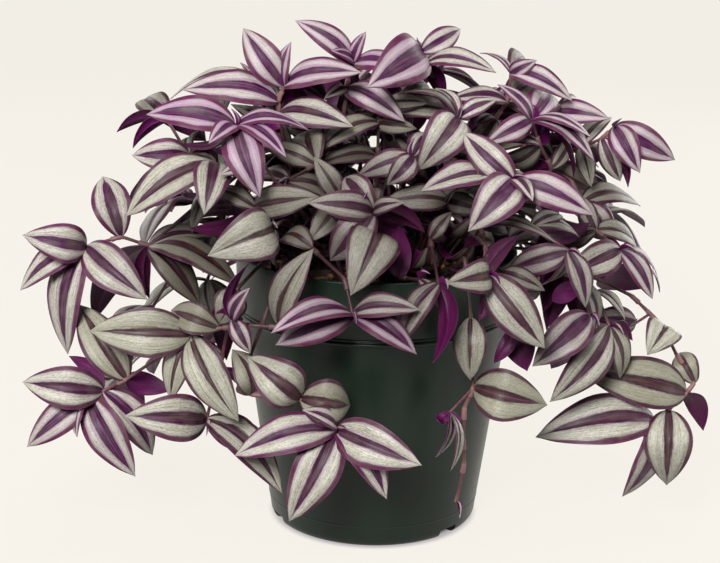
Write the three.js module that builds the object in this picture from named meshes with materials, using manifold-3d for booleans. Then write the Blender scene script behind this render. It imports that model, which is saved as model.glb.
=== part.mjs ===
// Potted tradescantia: a moulded pot, its potting mix and the leafy stems that grow from it.
// Millimetres, +Z up. The origin is the middle of the pot's underside and the front is -Y.

import * as THREE from "three";
import { mergeVertices } from "three/addons/utils/BufferGeometryUtils.js";
import Module from "manifold-3d";

const wasm = await Module();
wasm.setup();

// Pot
const POT_HEIGHT = 151;
const POT_TOP_RADIUS = 76;
const POT_BASE_RADIUS = 56.3;
const COLLAR_HEIGHT = 33.5;
const COLLAR_FOOT_RADIUS = 75;
const NECK_RADIUS = 73;
const COLLAR_BEAD = 1.6;
const WALL = 1.8;
const FLOOR = 2.5;
const BASE_ROUND = 5;
const POT_SIDES = 32;
const NOTCH_WIDTH = 12.5;
const NOTCH_HEIGHT = 5;
const NOTCH_DEPTH = 8;
const NOTCH_TURNS = [46, -66, 170];

// Potting mix
const SOIL_LEVEL = 141;
const SOIL_CROWN = 2.5;
const ROOT_DEPTH = 15;
const CLEARANCE = 0.3;
const HOLE_SIDES = 4;

// Stems and blades
const STEM_RADIUS = 1.5;
const STEM_TIP_RADIUS = 1.1;
const STEM_SIDES = 4;
const BLADE_THICKNESS = 1.5;
const WIDEST = 0.39;
const BLADE_STATIONS = [0, 0.06, 0.34, 0.68, 1];
const SMALL_STATIONS = [0, 0.08, 0.5, 1];
const SMALL_WIDTH = 10.5;
const BLADE_NECK = 0.3;
const BLADE_FOLD = 0.12;
const BASE_FULLNESS = 0.7;
const TIP_TAPER = 1.1;
const BOW_SKEW = 0.35;
const BLADE_SINK = 0.5;
const BLADE_GAP = 1.8;
const OWN_GAP = 0.6;
const FLOOR_GAP = 4;
const SOUNDINGS = [0.12, 0.24, 0.36, 0.48, 0.6, 0.72, 0.84, 0.92, 1];
const STEM_GAP = 1.3;
const LENGTH_PER_WIDTH = 2.1;
const LEAST_WIDTH = 0.44;
const LEAST_ARCH = 0.15;
const MOST_ARCH = 0.36;
const OUTWARD_LOOK = 0.6;

// How a stem rises from the mix: straight, then leaning to its first joint or over the rim
const STRAIGHT_RISE = 4;
const LEAST_RISE = 12;
const RISE_SHARE = 0.45;
const RISE_LEAN = 0.22;
const LOW_JOINT = 14;
const RIM_PASS = 8;

// The view that the stems in front are laid out in: an eye 900 mm in front of the pot's axis.
// A place is given as it is seen against the upright plane through the axis, across and up,
// and then as how far it lies in front of that plane.
const EYE = [-8.66, -900, 374.84];

// Stems that the view shows. Each has its name, the spot where it leaves the potting mix, its
// joints [across, up, forward] with the joint that a side stem starts from as a fourth number,
// and its leaves [joint, tip across, tip up, width as seen, tip forward of the joint, face].
const SEEN_STEMS = [
  ["left_high", [-40, -10],
    [[-84, 184, 22], [-123, 150, 36], [-138, 155, 38], [-157, 149, 42]],
    [[3, -191, 155, 20, 14], [3, -194, 124.5, 14, 6], [3, -169.5, 88, 18, 4],
      [3, -125, 120, 22, 20], [2, -147, 188, 20, -22], [1, -74, 128.5, 14, 20],
      [1, -88, 156, 10, -14], [1, -95.5, 117, 16, 4], [0, -100, 158, 9, 12]]],
  ["left_upper", [-30, -24],
    [[-62, 182, 44], [-87, 196, 48], [-101, 200, 40], [-112, 219, 26]],
    [[1, -135, 166.5, 19, 12], [1, -93, 168, 19, 28], [1, -134, 173, 10, -8],
      [2, -131, 199.5, 17, 0], [3, -139, 213, 6, -4, "under"], [3, -131, 204, 6, 8, "under"]]],
  ["left_front_high", [-18, -36],
    [[-50, 180, 58], [-62, 197, 60], [-76, 216, 58]],
    [[2, -123, 222, 17, 0], [2, -63, 178, 20, 20], [2, -90, 207, 9, 22],
      [2, -49, 200, 8, 12], [2, -36.5, 214.5, 7, -10], [1, -84, 190, 10, -14]]],
  ["top_left", [-16, -2],
    [[-48, 200, 10], [-53, 223, 14], [-53, 230, 15], [-50, 238, 16]],
    [[2, -103.5, 235.5, 17, 8], [3, -71.5, 268, 18, -6], [3, -47, 261, 8, 2],
      [3, -9.5, 246, 14, 14], [1, -13.5, 217, 16, 20], [0, -80, 214, 12, -12]]],
  ["top_middle", [-3, -12],
    [[-20, 205, 0], [-18, 226, 0], [-17.5, 237, 2], [-14, 250, 4]],
    [[3, -44, 272.5, 13, 0], [3, -7.5, 267, 7, 0], [3, 19, 247, 11, 14], [3, -25, 257, 5, 8],
      [2, 14, 220, 15, 20], [2, -28.5, 232, 7, 14], [0, -50, 215, 12, -10]]],
  ["top_centre_right", [8, 6],
    [[2, 222, -8], [13, 236, -6], [24, 250, -4], [22, 257, -6]],
    [[3, -6, 238, 26, 24], [3, 42.3, 269.3, 13, -12], [2, 61.5, 246.8, 10, 8],
      [2, 12.5, 250, 5, 10], [2, 34.5, 231, 9, -10, "under"], [1, 27, 238, 10, -20],
      [0, 48.5, 221.5, 12, 10]]],
  ["top_right", [25, 10],
    [[50, 212, -4], [62, 222, 0], [68, 231, 3], [69.5, 246, 4]],
    [[3, 82.5, 253.2, 9, 6], [3, 94.8, 244, 5, 8], [3, 53, 257, 3, -10],
      [2, 36, 231.5, 9, 6], [3, 102, 232.5, 12, 8], [0, 50.5, 236, 8.5, -4, "under"],
      [1, 51, 218, 5, 12]]],
  ["right_top", [36, -8],
    [[86, 182, 10], [93, 196, 16], [86, 208, 22], [81, 221.5, 28]],
    [[3, 90, 236, 18, -24], [3, 63, 240.5, 7, -4], [3, 57.5, 208.5, 13, 14],
      [3, 115.5, 200.5, 9, 14], [3, 113, 213, 5, 2], [2, 67, 210, 6, 8],
      [2, 88, 226, 10, -16, "under"], [1, 72, 188, 10, -12, "under"], [1, 102, 212, 8, -12]]],
  ["right_top_far", [46, 6],
    [[93, 202, -6], [108, 207, 2], [119, 212, 10], [125.5, 218.5, 14]],
    [[3, 158.5, 201, 17, 6], [3, 140, 194, 15, 14], [2, 130, 189, 12, 0],
      [2, 134.5, 186, 6, 10, "under"], [1, 114.5, 186, 10, 12], [1, 123.5, 224, 9, -14],
      [0, 82, 214, 9, -14]]],
  ["right_top_middle", [30, 24],
    [[76, 205, -14], [88, 218, -4], [93, 225.5, 2]],
    [[2, 122, 223, 13, 16], [2, 106, 231, 12, -22], [1, 62, 234, 10, -16],
      [0, 96, 196, 10, -8]]],
  ["right_upper_back", [50, -8],
    [[80, 186, 0], [88, 199, 2], [104, 189, 4], [110, 177, 8]],
    [[1, 120.5, 181.5, 17, 10], [3, 129.5, 160, 9, -6], [3, 126, 156.5, 17, 14],
      [0, 97, 165, 9, -6, "under"]]],
  ["centre_right", [32, -30],
    [[52, 168, 58], [62, 190, 64], [73, 188, 70]],
    [[2, 49.5, 160.5, 22, 22], [2, 116.5, 170.5, 17, 10], [2, 83.5, 178.5, 7, 22],
      [2, 45, 214.5, 17, -14], [1, 23.5, 182.5, 13, 12], [1, 46, 186, 5, 18]]],
  ["centre_right_back", [22, -20],
    [[30, 165, 34], [38, 177, 42]],
    [[1, 50, 160.5, 8, 20], [1, 57, 172, 12, 8], [1, 3, 176, 14, 6], [0, 58, 190, 10, -14]]],
  ["top_centre", [12, -24],
    [[30, 185, 14], [37, 204, 22], [42, 222, 26]],
    [[2, 21.5, 193.5, 23, 22], [1, 21, 203, 5, 16], [2, 62, 232, 9, -18],
      [0, 51, 195.5, 4, 4], [2, 30, 238, 9, -20]]],
  ["centre", [-4, -38],
    [[-0.5, 157, 60], [-2, 170.5, 66]],
    [[0, -13.5, 124, 27, 30], [1, -37, 175, 15, 12], [1, -17.5, 189.5, 16, -18],
      [1, 14, 176, 8, 12], [1, -25, 143, 20, 2], [1, 26, 160, 9, -10, "under"]]],
  ["front_rim", [-2, -52],
    [[4, 143, 48], [13, 134, 62], [24, 133, 75]],
    [[1, 12, 163, 13, -4, "under"], [2, 34, 118, 7, 10]]],
  ["front_right_hanging", [24, -48],
    [[29, 156, 60], [34, 131, 88]],
    [[1, 13.5, 96.5, 13, 4], [1, 33, 85.5, 9, -2, "under"], [0, 40, 171, 8, -16]]],
  ["right_rim_hanging", [38, -46],
    [[48, 146, 68], [52, 112, 78], [55, 72, 78], [50, 60, 78], [50, 41, 77], [51, 27, 76],
      [47, 4, 75], [42, 57, 82, 2]],
    [[2, 96, 62, 26, 8], [1, 53, 76, 17, 8], [7, 35, 30, 4, 4], [7, 44, 22, 4, 6],
      [7, 36, 51, 6, 6, "under"], [7, 46, 46, 6, -4, "under"]]],
  ["right_front", [44, -34],
    [[56, 163, 66], [59, 152, 78], [60, 136, 86]],
    [[2, 93.2, 95, 22, 12], [2, 38.5, 131.5, 17, 20], [0, 97, 155.5, 5, 4],
      [2, 76.5, 159, 9, -8, "under"], [2, 57, 110, 8, -4, "under"]]],
  ["right_middle", [54, -24],
    [[84, 164, 58], [104, 150, 68]],
    [[1, 71, 139.5, 15, 18], [1, 115, 118.5, 12, 4], [1, 80, 133, 12, -12, "under"],
      [0, 100, 170, 8, -16]]],
  ["right_middle_low", [60, -14],
    [[94, 150, 38], [112, 132, 50], [117, 114, 56]],
    [[2, 87, 84.5, 20, 16], [1, 118, 100, 7, -10], [0, 92, 116, 10, 6, "under"],
      [1, 96, 122, 10, 14, "under"]]],
  ["right_low_middle", [62, 0],
    [[100, 150, 20], [120, 128, 34], [128, 108, 42]],
    [[2, 97.8, 63.8, 22, 18], [2, 141, 101, 8, -14, "under"], [2, 136, 78, 11, -8],
      [1, 137, 112, 5, 4]]],
  ["right_rosette", [58, 14],
    [[96, 168, 14], [118, 162, 28], [132, 151, 38]],
    [[2, 102.5, 136, 18, 16], [2, 151, 124, 11, 10], [2, 155, 128, 5, -6],
      [2, 124, 150, 12, -34], [1, 110, 180, 10, -22], [0, 84, 146, 10, -10, "under"]]],
  ["right_trailing", [54, 28],
    [[98, 152, 2], [120.5, 134.5, 16], [139.5, 125.5, 22], [150, 115.5, 26], [158, 107, 28],
      [166, 92, 30], [177, 76, 32], [172.5, 70, 34], [163.5, 60, 38], [156.5, 54, 42],
      [142.5, 110, 32, 3]],
    [[9, 90.5, 43.5, 27, 12], [7, 113, 82.5, 27, 14], [8, 165, 15.5, 26, 12],
      [9, 141, 8, 14, 8], [9, 148, 22, 9, -8, "under"], [4, 150, 92, 20, 20],
      [6, 167.5, 93.5, 14, -16], [7, 183.5, 48.5, 11, -8, "under"], [10, 117, 112, 16, 10],
      [1, 150, 131, 15, -18, "under"], [1, 119, 146, 9, -8, "under"]]],
  ["left_low", [-32, -53],
    [[-48, 124, 78], [-52, 105, 82], [-69, 106, 80], [-86, 104, 78], [-101, 100, 74],
      [-117, 88, 68], [-137, 74, 62], [-150, 67, 60], [-158, 63, 60], [-78, 109, 88, 2]],
    [[4, -156.5, 101.5, 25, 6], [4, -75.5, 50, 21, 14], [4, -113, 62, 14, 4],
      [7, -194.5, 71.5, 22, 6], [8, -193.5, 33.5, 17, 10], [8, -133.5, 16.5, 20, 12],
      [8, -166, 40, 5, 16], [7, -123, 29.5, 18, -6], [6, -162, 116.5, 22, -18],
      [3, -112, 114, 16, -12], [7, -168, 87, 8, -12, "under"], [6, -112, 68, 12, -8, "under"],
      [1, -34.5, 149.5, 16, 6], [9, -69.5, 141, 5, 0, "under"], [9, -69, 127, 8, 6],
      [9, -68.5, 90, 10, 6]]],
  ["left_low_middle", [-54, -28],
    [[-76, 126, 66], [-84, 88, 66], [-93, 51, 68]],
    [[2, -138, 52.5, 24, 8], [2, -51, 8, 18, 16], [2, -62, 36, 18, -6],
      [0, -86, 106, 17, 8], [1, -112, 92, 12, -10]]],
  ["front_low", [-45, -42],
    [[-60, 112, 70], [-76, 68, 74], [-68, 66, 80], [-41, 64, 86], [-33, 58, 88],
      [-21, 46, 90]],
    [[5, -77.5, 30, 20, 8], [5, -47, -9.5, 24, 14], [5, 8, 5, 16, 14], [5, 27, 25.5, 23, 8],
      [5, -39, 57.5, 8, 14], [3, -70, 88, 24, 2], [3, -13, 60, 24, -2], [2, -78, 92, 18, -4],
      [2, -84, 82, 7, 4, "under"]]],
  ["front_middle", [-20, -50],
    [[-35, 150, 66], [-17, 133, 88], [-12.5, 113, 94]],
    [[2, -54.5, 95, 17, 8], [2, 24, 116, 12, 2], [2, 23, 91, 14, 12], [2, -57, 102, 6, -4]]],
  ["left_centre", [-36, -36],
    [[-66, 172, 52], [-56, 160, 66]],
    [[1, -91, 145, 26, 24], [1, -56, 141, 8, 14], [0, -31.5, 178.5, 11, 12],
      [0, -88, 182, 10, -12]]],
  ["centre_left", [-10, -26],
    [[-19, 177, 42], [-25, 187, 40], [-33, 196, 36], [-48, 187, 44, 2]],
    [[0, -36.5, 153.5, 15, 18], [3, -44.5, 163, 12, 18], [2, -58, 206, 12, -10],
      [3, -72, 178, 10, -8]]],
  ["centre_back", [0, 0],
    [[0, 200, 10], [0, 219, 8], [2, 228, 6]],
    [[1, -33, 203, 12, 14], [1, 20, 216, 10, 16], [0, -32, 196, 10, 10], [2, -6, 246, 9, -14],
      [2, 26, 230, 9, -16]]],
  ["centre_small", [4, -34],
    [[12, 178, 40], [19, 201, 46]],
    [[1, 5.2, 185.5, 13, 18], [1, -11, 189.5, 13, 0], [0, 12, 160, 9, -8], [1, 36, 212, 9, -14]]],
  ["right_rim_dark", [52, -36],
    [[68, 138, 66], [76, 106, 72]],
    [[1, 84, 82, 17, 6, "under"], [1, 66, 86, 8, 4, "under"], [0, 92, 128, 10, -10]]],
];

// Stems round the back, placed by a rule in three tiers. Turns run anticlockwise from +X.
const HIDDEN_TIERS = [
  {
    name: "back_low", count: 6, from: 38, to: 174, ring: 57, reach: 106, start: 159, end: 72,
    hump: 30, joints: 4,
  },
  {
    name: "back_middle", count: 5, from: 20, to: 160, ring: 38, reach: 98, start: 159, end: 160,
    hump: 40, joints: 4,
  },
  {
    name: "back_high", count: 4, from: 25, to: 155, ring: 19, reach: 56, start: 160, end: 232,
    hump: 14, joints: 3,
  },
];
const HIDDEN_SEED = 20;
const HIDDEN_LENGTH = 47;
const HIDDEN_WIDTH = 20;
const HIDDEN_SPREAD = 1.15;
const HIDDEN_LEAN = 0.35;
const SIDE_REACH = 0.3;
const REACH_EASE = 0.8;
const TURN_SCATTER = 5;
const RING_SCATTER = 3;
const SWAY = 8;
const ZIGZAG = 2;

const add = (a, b) => [a[0] + b[0], a[1] + b[1], a[2] + b[2]];
const sub = (a, b) => [a[0] - b[0], a[1] - b[1], a[2] - b[2]];
const scale = (a, k) => [a[0] * k, a[1] * k, a[2] * k];
const dot = (a, b) => a[0] * b[0] + a[1] * b[1] + a[2] * b[2];
const cross = (a, b) => [
  a[1] * b[2] - a[2] * b[1],
  a[2] * b[0] - a[0] * b[2],
  a[0] * b[1] - a[1] * b[0],
];
const size = (a) => Math.sqrt(dot(a, a));
const unit = (a) => scale(a, 1 / size(a));
const mix = (a, b, k) => add(scale(a, 1 - k), scale(b, k));
const blend = (a, b, k) => a + (b - a) * k;
const clamp = (x, low, high) => Math.min(high, Math.max(low, x));

// The part of a that is square to the unit vector b
const squared = (a, b) => unit(sub(a, scale(b, dot(a, b))));

// A point given as it is seen against the upright plane through the pot's axis
function seen(across, up, forward) {
  const nearer = (-EYE[1] - forward) / -EYE[1];
  return [
    EYE[0] + (across - EYE[0]) * nearer,
    -forward,
    EYE[2] + (up - EYE[2]) * nearer,
  ];
}

// A repeatable draw between two values
function seededDraw(seed) {
  let state = seed;
  return (low, high) => {
    state = (state * 16807) % 2147483647;
    return low + ((high - low) * (state - 1)) / 2147483646;
  };
}

// Outer radius of the pot at a height
function potRadius(z) {
  const neck = POT_HEIGHT - COLLAR_HEIGHT;
  if (z > neck) {
    return COLLAR_FOOT_RADIUS + (POT_TOP_RADIUS - COLLAR_FOOT_RADIUS) * ((z - neck) / COLLAR_HEIGHT);
  }
  return POT_BASE_RADIUS + (NECK_RADIUS - POT_BASE_RADIUS) * (z / neck);
}

// How a blade lies: from its base to its tip, with the way its upper face looks
function bladeForm(base, tip, seenWidth, facing, roll) {
  const along = sub(tip, base);
  const length = size(along);
  const chord = scale(along, 1 / length);
  const width = Math.max(seenWidth, LEAST_WIDTH * length);
  const slack = (LENGTH_PER_WIDTH * width) / length - 1;
  // A shallow bow is longer than its chord by 8/3 of the square of its rise
  const arch = clamp(Math.sqrt((Math.max(0, slack) * 3) / 8), LEAST_ARCH, MOST_ARCH);
  const level = facing(chord, Math.min(1, seenWidth / width));
  const normal = add(scale(level, Math.cos(roll)), scale(cross(chord, level), Math.sin(roll)));
  const stations = width < SMALL_WIDTH ? SMALL_STATIONS : BLADE_STATIONS;
  return { base, chord, normal, side: cross(chord, normal), length, width, arch, stations };
}

// Half the width of a blade along its length, as a part of its widest
function bladeOutline(t) {
  return (t / WIDEST) ** BASE_FULLNESS * ((1 - t) / (1 - WIDEST)) ** TIP_TAPER;
}

// A point on the blade: t from base to tip, s across from -1 to 1, lift off its middle face
function bladePoint(form, t, s, lift) {
  const skew = 1 + BOW_SKEW * (1 - 2 * t);
  const bow = 4 * t * (1 - t) * skew;
  const slope = form.arch * (4 * (1 - 2 * t) * skew - 8 * BOW_SKEW * t * (1 - t));
  const half = (form.width / 2) * bladeOutline(t);
  const across = half * s;
  const fold = BLADE_FOLD * Math.abs(across);
  const lean = 1 / Math.sqrt(1 + slope * slope);
  const run = form.length * t - lift * slope * lean;
  const rise = form.length * form.arch * bow + fold + lift * lean;
  return add(
    form.base,
    add(scale(form.chord, run), add(scale(form.normal, rise), scale(form.side, across))),
  );
}

// Faces of a blade as a thin sheet
function sheetTriangles(form, firstRow) {
  const rows = form.stations.slice(firstRow).map((t) => {
    const spots = t === 0 || t === 1 ? [0] : [-1, 0, 1];
    return spots.map((s) => bladePoint(form, t, s, 0));
  });
  const faces = [];
  for (let i = 0; i < rows.length - 1; i += 1) {
    const low = rows[i];
    const high = rows[i + 1];
    for (let k = 0; k < 2; k += 1) {
      if (low.length === 1) {
        faces.push([low[0], high[k], high[k + 1]]);
      } else if (high.length === 1) {
        faces.push([low[k], low[k + 1], high[0]]);
      } else {
        faces.push([low[k], low[k + 1], high[k + 1]], [low[k], high[k + 1], high[k]]);
      }
    }
  }
  return faces;
}

function ringTriangles(rings) {
  const faces = [];
  for (let i = 0; i < rings.length - 1; i += 1) {
    const low = rings[i];
    const high = rings[i + 1];
    const count = Math.max(low.length, high.length);
    for (let k = 0; k < count; k += 1) {
      const next = (k + 1) % count;
      if (low.length === 1) {
        faces.push([low[0], high[k], high[next]]);
      } else if (high.length === 1) {
        faces.push([low[k], low[next], high[0]]);
      } else {
        faces.push([low[k], low[next], high[next]], [low[k], high[next], high[k]]);
      }
    }
  }
  return faces;
}

// Faces of the room that a blade needs round it
function bladeRoom(form, gap, firstRow) {
  const rings = form.stations.slice(firstRow).map((t) => {
    if (t === 0 || t === 1) {
      return [add(bladePoint(form, t, 0, 0), scale(form.chord, t === 0 ? -gap : gap))];
    }
    const wide = 1 + gap / ((form.width / 2) * bladeOutline(t));
    return [[-wide, gap], [0, gap], [wide, gap], [wide, -gap], [0, -gap], [-wide, -gap]].map(
      ([s, lift]) => bladePoint(form, t, s, lift),
    );
  });
  return ringTriangles(rings);
}

function boxOf(faces) {
  const low = [Infinity, Infinity, Infinity];
  const high = [-Infinity, -Infinity, -Infinity];
  for (const face of faces) {
    for (const point of face) {
      for (let axis = 0; axis < 3; axis += 1) {
        low[axis] = Math.min(low[axis], point[axis]);
        high[axis] = Math.max(high[axis], point[axis]);
      }
    }
  }
  return { low, high };
}

function boxesMeet(a, b) {
  for (let axis = 0; axis < 3; axis += 1) {
    if (a.low[axis] > b.high[axis] || b.low[axis] > a.high[axis]) {
      return false;
    }
  }
  return true;
}

function edgeCrosses(start, end, face) {
  const along = sub(end, start);
  const first = sub(face[1], face[0]);
  const second = sub(face[2], face[0]);
  const h = cross(along, second);
  const det = dot(first, h);
  if (Math.abs(det) < 1e-9) {
    return false;
  }
  const s = sub(start, face[0]);
  const u = dot(s, h) / det;
  if (u < 0 || u > 1) {
    return false;
  }
  const q = cross(s, first);
  const v = dot(along, q) / det;
  if (v < 0 || u + v > 1) {
    return false;
  }
  const t = dot(second, q) / det;
  return t >= 0 && t <= 1;
}

function facesCross(a, b) {
  for (const one of a) {
    for (const other of b) {
      for (let k = 0; k < 3; k += 1) {
        if (edgeCrosses(one[k], one[(k + 1) % 3], other)) {
          return true;
        }
        if (edgeCrosses(other[k], other[(k + 1) % 3], one)) {
          return true;
        }
      }
    }
  }
  return false;
}

// True where a point lies in the pot's wall, in the mix or under the pot, with the gap round it
function inPot(point, gap) {
  const r = Math.hypot(point[0], point[1]);
  if (point[2] > POT_HEIGHT + gap) {
    return false;
  }
  const outer = potRadius(clamp(point[2], 0, POT_HEIGHT));
  if (r < outer - WALL - gap) {
    return point[2] < SOIL_LEVEL + SOIL_CROWN + gap;
  }
  return r < outer + gap;
}

// Room taken by one straight stretch of stem
function stretchRoom(start, end, radius) {
  const along = unit(sub(end, start));
  const first = squared(Math.abs(along[2]) < 0.8 ? [0, 0, 1] : [1, 0, 0], along);
  const second = cross(along, first);
  const rings = [[sub(start, scale(along, 1))]];
  for (const point of [start, end]) {
    const ring = [];
    for (let k = 0; k < 6; k += 1) {
      const turn = (Math.PI * k) / 3;
      const out = add(scale(first, Math.cos(turn)), scale(second, Math.sin(turn)));
      ring.push(add(point, scale(out, radius)));
    }
    rings.push(ring);
  }
  rings.push([add(end, scale(along, 1))]);
  return ringTriangles(rings);
}

// Least distance from points spread along one straight stretch to another
function pointsDistance(a, b, c, d) {
  const spans = 8;
  const along = sub(d, c);
  let best = Infinity;
  for (let i = 0; i <= spans; i += 1) {
    const point = mix(a, b, i / spans);
    const k = clamp(dot(sub(point, c), along) / dot(along, along), 0, 1);
    best = Math.min(best, size(sub(point, mix(c, d, k))));
  }
  return best;
}

// The stem's way from the mix up to its first joint, over the rim where that joint hangs outside
function riseTo(root, first) {
  const [x, y] = root;
  const points = [[x, y, SOIL_LEVEL - ROOT_DEPTH], [x, y, SOIL_LEVEL + STRAIGHT_RISE]];
  const reach = Math.hypot(first[0], first[1]);
  if (reach > POT_TOP_RADIUS + 1 && first[2] < POT_HEIGHT + LOW_JOINT) {
    const k = (POT_TOP_RADIUS - 1) / reach;
    points.push([first[0] * k, first[1] * k, POT_HEIGHT + RIM_PASS]);
  } else {
    const height = Math.max(LEAST_RISE, RISE_SHARE * (first[2] - SOIL_LEVEL));
    points.push([blend(x, first[0], RISE_LEAN), blend(y, first[1], RISE_LEAN), SOIL_LEVEL + height]);
  }
  return points;
}

// A stem: the points of its rise, its joints, and the straight stretches that join them
function stemForm(name, root, joints, parents) {
  const rise = riseTo(root, joints[0]);
  const runs = [];
  rise.slice(0, -1).forEach((point, i) => runs.push([point, rise[i + 1], -2]));
  joints.forEach((joint, i) => {
    const parent = parents[i];
    runs.push([parent < 0 ? rise[rise.length - 1] : joints[parent], joint, i]);
  });
  return { name, root, rise, joints, parents, runs };
}

function stemClearance(stem, others) {
  let best = Infinity;
  for (const other of others) {
    for (const [a, b] of stem.runs) {
      for (const [c, d] of other.runs) {
        best = Math.min(best, pointsDistance(a, b, c, d), pointsDistance(c, d, a, b));
      }
    }
  }
  return best;
}

// The open sky as a leaf at this place sees it: up, and out from the middle of the plant
function skyward(place) {
  return unit(add([0, 0, 1], scale(unit([place[0], place[1], 0.001]), OUTWARD_LOOK)));
}

function towards(a, b) {
  return dot(a, b) < 0 ? scale(a, -1) : a;
}

// Places each stem, bent nearer or farther along the line of sight where it would meet another
const STEM_SHIFTS = [0, 4, -4, 8, -8, 12, -12, 16, -16];
const STEM_ROOM = 4.5;

function placeStem(name, root, jointsAt, parents, placed) {
  let best = null;
  let bestRoom = -1;
  for (const shift of STEM_SHIFTS) {
    const stem = stemForm(name, root, jointsAt(shift), parents);
    const room = stemClearance(stem, placed);
    if (room > bestRoom) {
      best = stem;
      bestRoom = room;
    }
    if (room > STEM_ROOM) {
      break;
    }
  }
  placed.push(best);
  return best;
}

// A stem of the view and the leaves that it asks for
function seenStem([name, root, joints, leaves], placed) {
  const parents = joints.map((joint, i) => (joint.length > 3 ? joint[3] : i - 1));
  const jointsAt = (shift) =>
    joints.map(([across, up, forward], i) => {
      const ease = Math.min(1, (i + 1) / 2);
      return seen(across, up, forward + shift * ease);
    });
  const stem = placeStem(name, [root[0], root[1]], jointsAt, parents, placed);
  stem.leaves = leaves.map(([joint, across, up, width, forward, face]) => {
    const base = stem.joints[joint];
    const facing = (chord, share) => {
      const toEye = squared(sub(EYE, base), chord);
      const turn = Math.acos(share);
      const side = face === "under" ? -1 : 1;
      const tilted = towards(cross(chord, toEye), skyward(base));
      return add(scale(toEye, side * Math.cos(turn)), scale(tilted, Math.sin(turn)));
    };
    const tipAt = (shift) => seen(across, up, -base[1] + forward + shift);
    return { joint, width, tipAt, facing };
  });
  return stem;
}

// One stem of a tier at the back: it rises from its ring of roots and arches out to its tip
function hiddenStem(tier, index, draw, placed) {
  const even = blend(tier.from, tier.to, index / (tier.count - 1));
  const turn = ((even + draw(-TURN_SCATTER, TURN_SCATTER)) * Math.PI) / 180;
  const out = [Math.cos(turn), Math.sin(turn), 0];
  const across = [-out[1], out[0], 0];
  const root = scale(out, tier.ring + draw(-RING_SCATTER, RING_SCATTER));
  const reach = tier.reach * draw(0.9, 1.1) * (1 + SIDE_REACH * Math.abs(out[0]));
  const sway = draw(-SWAY, SWAY);
  const end = tier.end + draw(-SWAY, SWAY);
  const jointsAt = (shift) => {
    const joints = [];
    for (let i = 1; i <= tier.joints; i += 1) {
      const k = i / tier.joints;
      const r = blend(tier.ring, reach, k ** REACH_EASE);
      const z = blend(tier.start, end, k) + tier.hump * Math.sin(Math.PI * k);
      const zigzag = (i % 2 === 0 ? ZIGZAG : -ZIGZAG) + (sway + shift) * k;
      joints.push(add(add(scale(out, r), scale(across, zigzag)), [0, 0, z]));
    }
    return joints;
  };
  const parents = Array.from({ length: tier.joints }, (_, i) => i - 1);
  const stem = placeStem(`${tier.name}_${index + 1}`, [root[0], root[1]], jointsAt, parents, placed);
  stem.leaves = [];
  const last = tier.joints - 1;
  for (let i = 0; i < last; i += 1) {
    const side = i % 2 === 0 ? HIDDEN_SPREAD : -HIDDEN_SPREAD;
    stem.leaves.push(hiddenLeaf(stem, i, turn + side * draw(0.7, 1.3), draw));
  }
  for (const side of [-HIDDEN_SPREAD, 0, HIDDEN_SPREAD]) {
    stem.leaves.push(hiddenLeaf(stem, last, turn + side + draw(-0.5, 0.5), draw));
  }
  return stem;
}

// A leaf of a hidden stem, pointing out at a turn round the upright and drooping at its tip
function hiddenLeaf(stem, joint, turn, draw) {
  const base = stem.joints[joint];
  const length = HIDDEN_LENGTH * draw(0.8, 1.2);
  const width = (HIDDEN_WIDTH * draw(0.85, 1.15) * length) / HIDDEN_LENGTH;
  const dip = draw(0.1, 0.6);
  const lean = draw(-HIDDEN_LEAN, HIDDEN_LEAN);
  const along = [
    Math.cos(turn) * Math.cos(dip),
    Math.sin(turn) * Math.cos(dip),
    -Math.sin(dip),
  ];
  const facing = (chord) => {
    const level = squared(skyward(base), chord);
    return add(scale(level, Math.cos(lean)), scale(cross(chord, level), Math.sin(lean)));
  };
  const tipAt = (shift) => add(add(base, scale(along, length)), scale(skyward(base), shift));
  return { joint, width, tipAt, facing };
}

// The shapes that a leaf tries in turn, the first that is clear of all else being kept
const LEAF_SHRINKS = [1, 0.86, 0.72, 0.58];
const LEAF_ROLLS = [0, 0.35, -0.35, 0.7, -0.7];
const LEAF_SHIFTS = [0, 6, -6, 12, -12, 18, -18, 26, -26];

// A blade as it would lie, with its sheet and the room it asks of its neighbours
function bladeTrial(form, stem, joint) {
  const sheet = sheetTriangles(form, 0);
  const room = bladeRoom(form, BLADE_GAP, 0);
  return { form, stem, joint, sheet, room, ownRoom: bladeRoom(form, OWN_GAP, 2), box: boxOf(room) };
}

function leafClear({ form, stem, joint, sheet, room, box }, stretches, blades) {
  if (box.low[2] < FLOOR_GAP) {
    return false;
  }
  for (const t of SOUNDINGS) {
    for (const s of [-1, -0.5, 0, 0.5, 1]) {
      if (inPot(bladePoint(form, t, s, 0), BLADE_GAP)) {
        return false;
      }
    }
  }
  for (const stretch of stretches) {
    const ownJoint = stretch.stem === stem && (stretch.to === joint || stretch.from === joint);
    if (!ownJoint && boxesMeet(box, stretch.box) && facesCross(sheet, stretch.room)) {
      return false;
    }
  }
  for (const blade of blades) {
    if (!boxesMeet(box, blade.box)) {
      continue;
    }
    if (blade.stem !== stem) {
      if (facesCross(sheet, blade.room) || facesCross(blade.sheet, room)) {
        return false;
      }
    } else if (facesCross(sheetTriangles(form, blade.joint === joint ? 2 : 1), blade.ownRoom)) {
      return false;
    }
  }
  return true;
}

function placeLeaf(stem, leaf, stretches, blades) {
  const base = stem.joints[leaf.joint];
  for (const shrink of LEAF_SHRINKS) {
    for (const roll of LEAF_ROLLS) {
      for (const shift of LEAF_SHIFTS) {
        const tip = mix(base, leaf.tipAt(shift), shrink);
        const form = bladeForm(base, tip, leaf.width * shrink, leaf.facing, roll);
        const trial = bladeTrial(form, stem, leaf.joint);
        if (leafClear(trial, stretches, blades)) {
          blades.push(trial);
          return;
        }
      }
    }
  }
}

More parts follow.
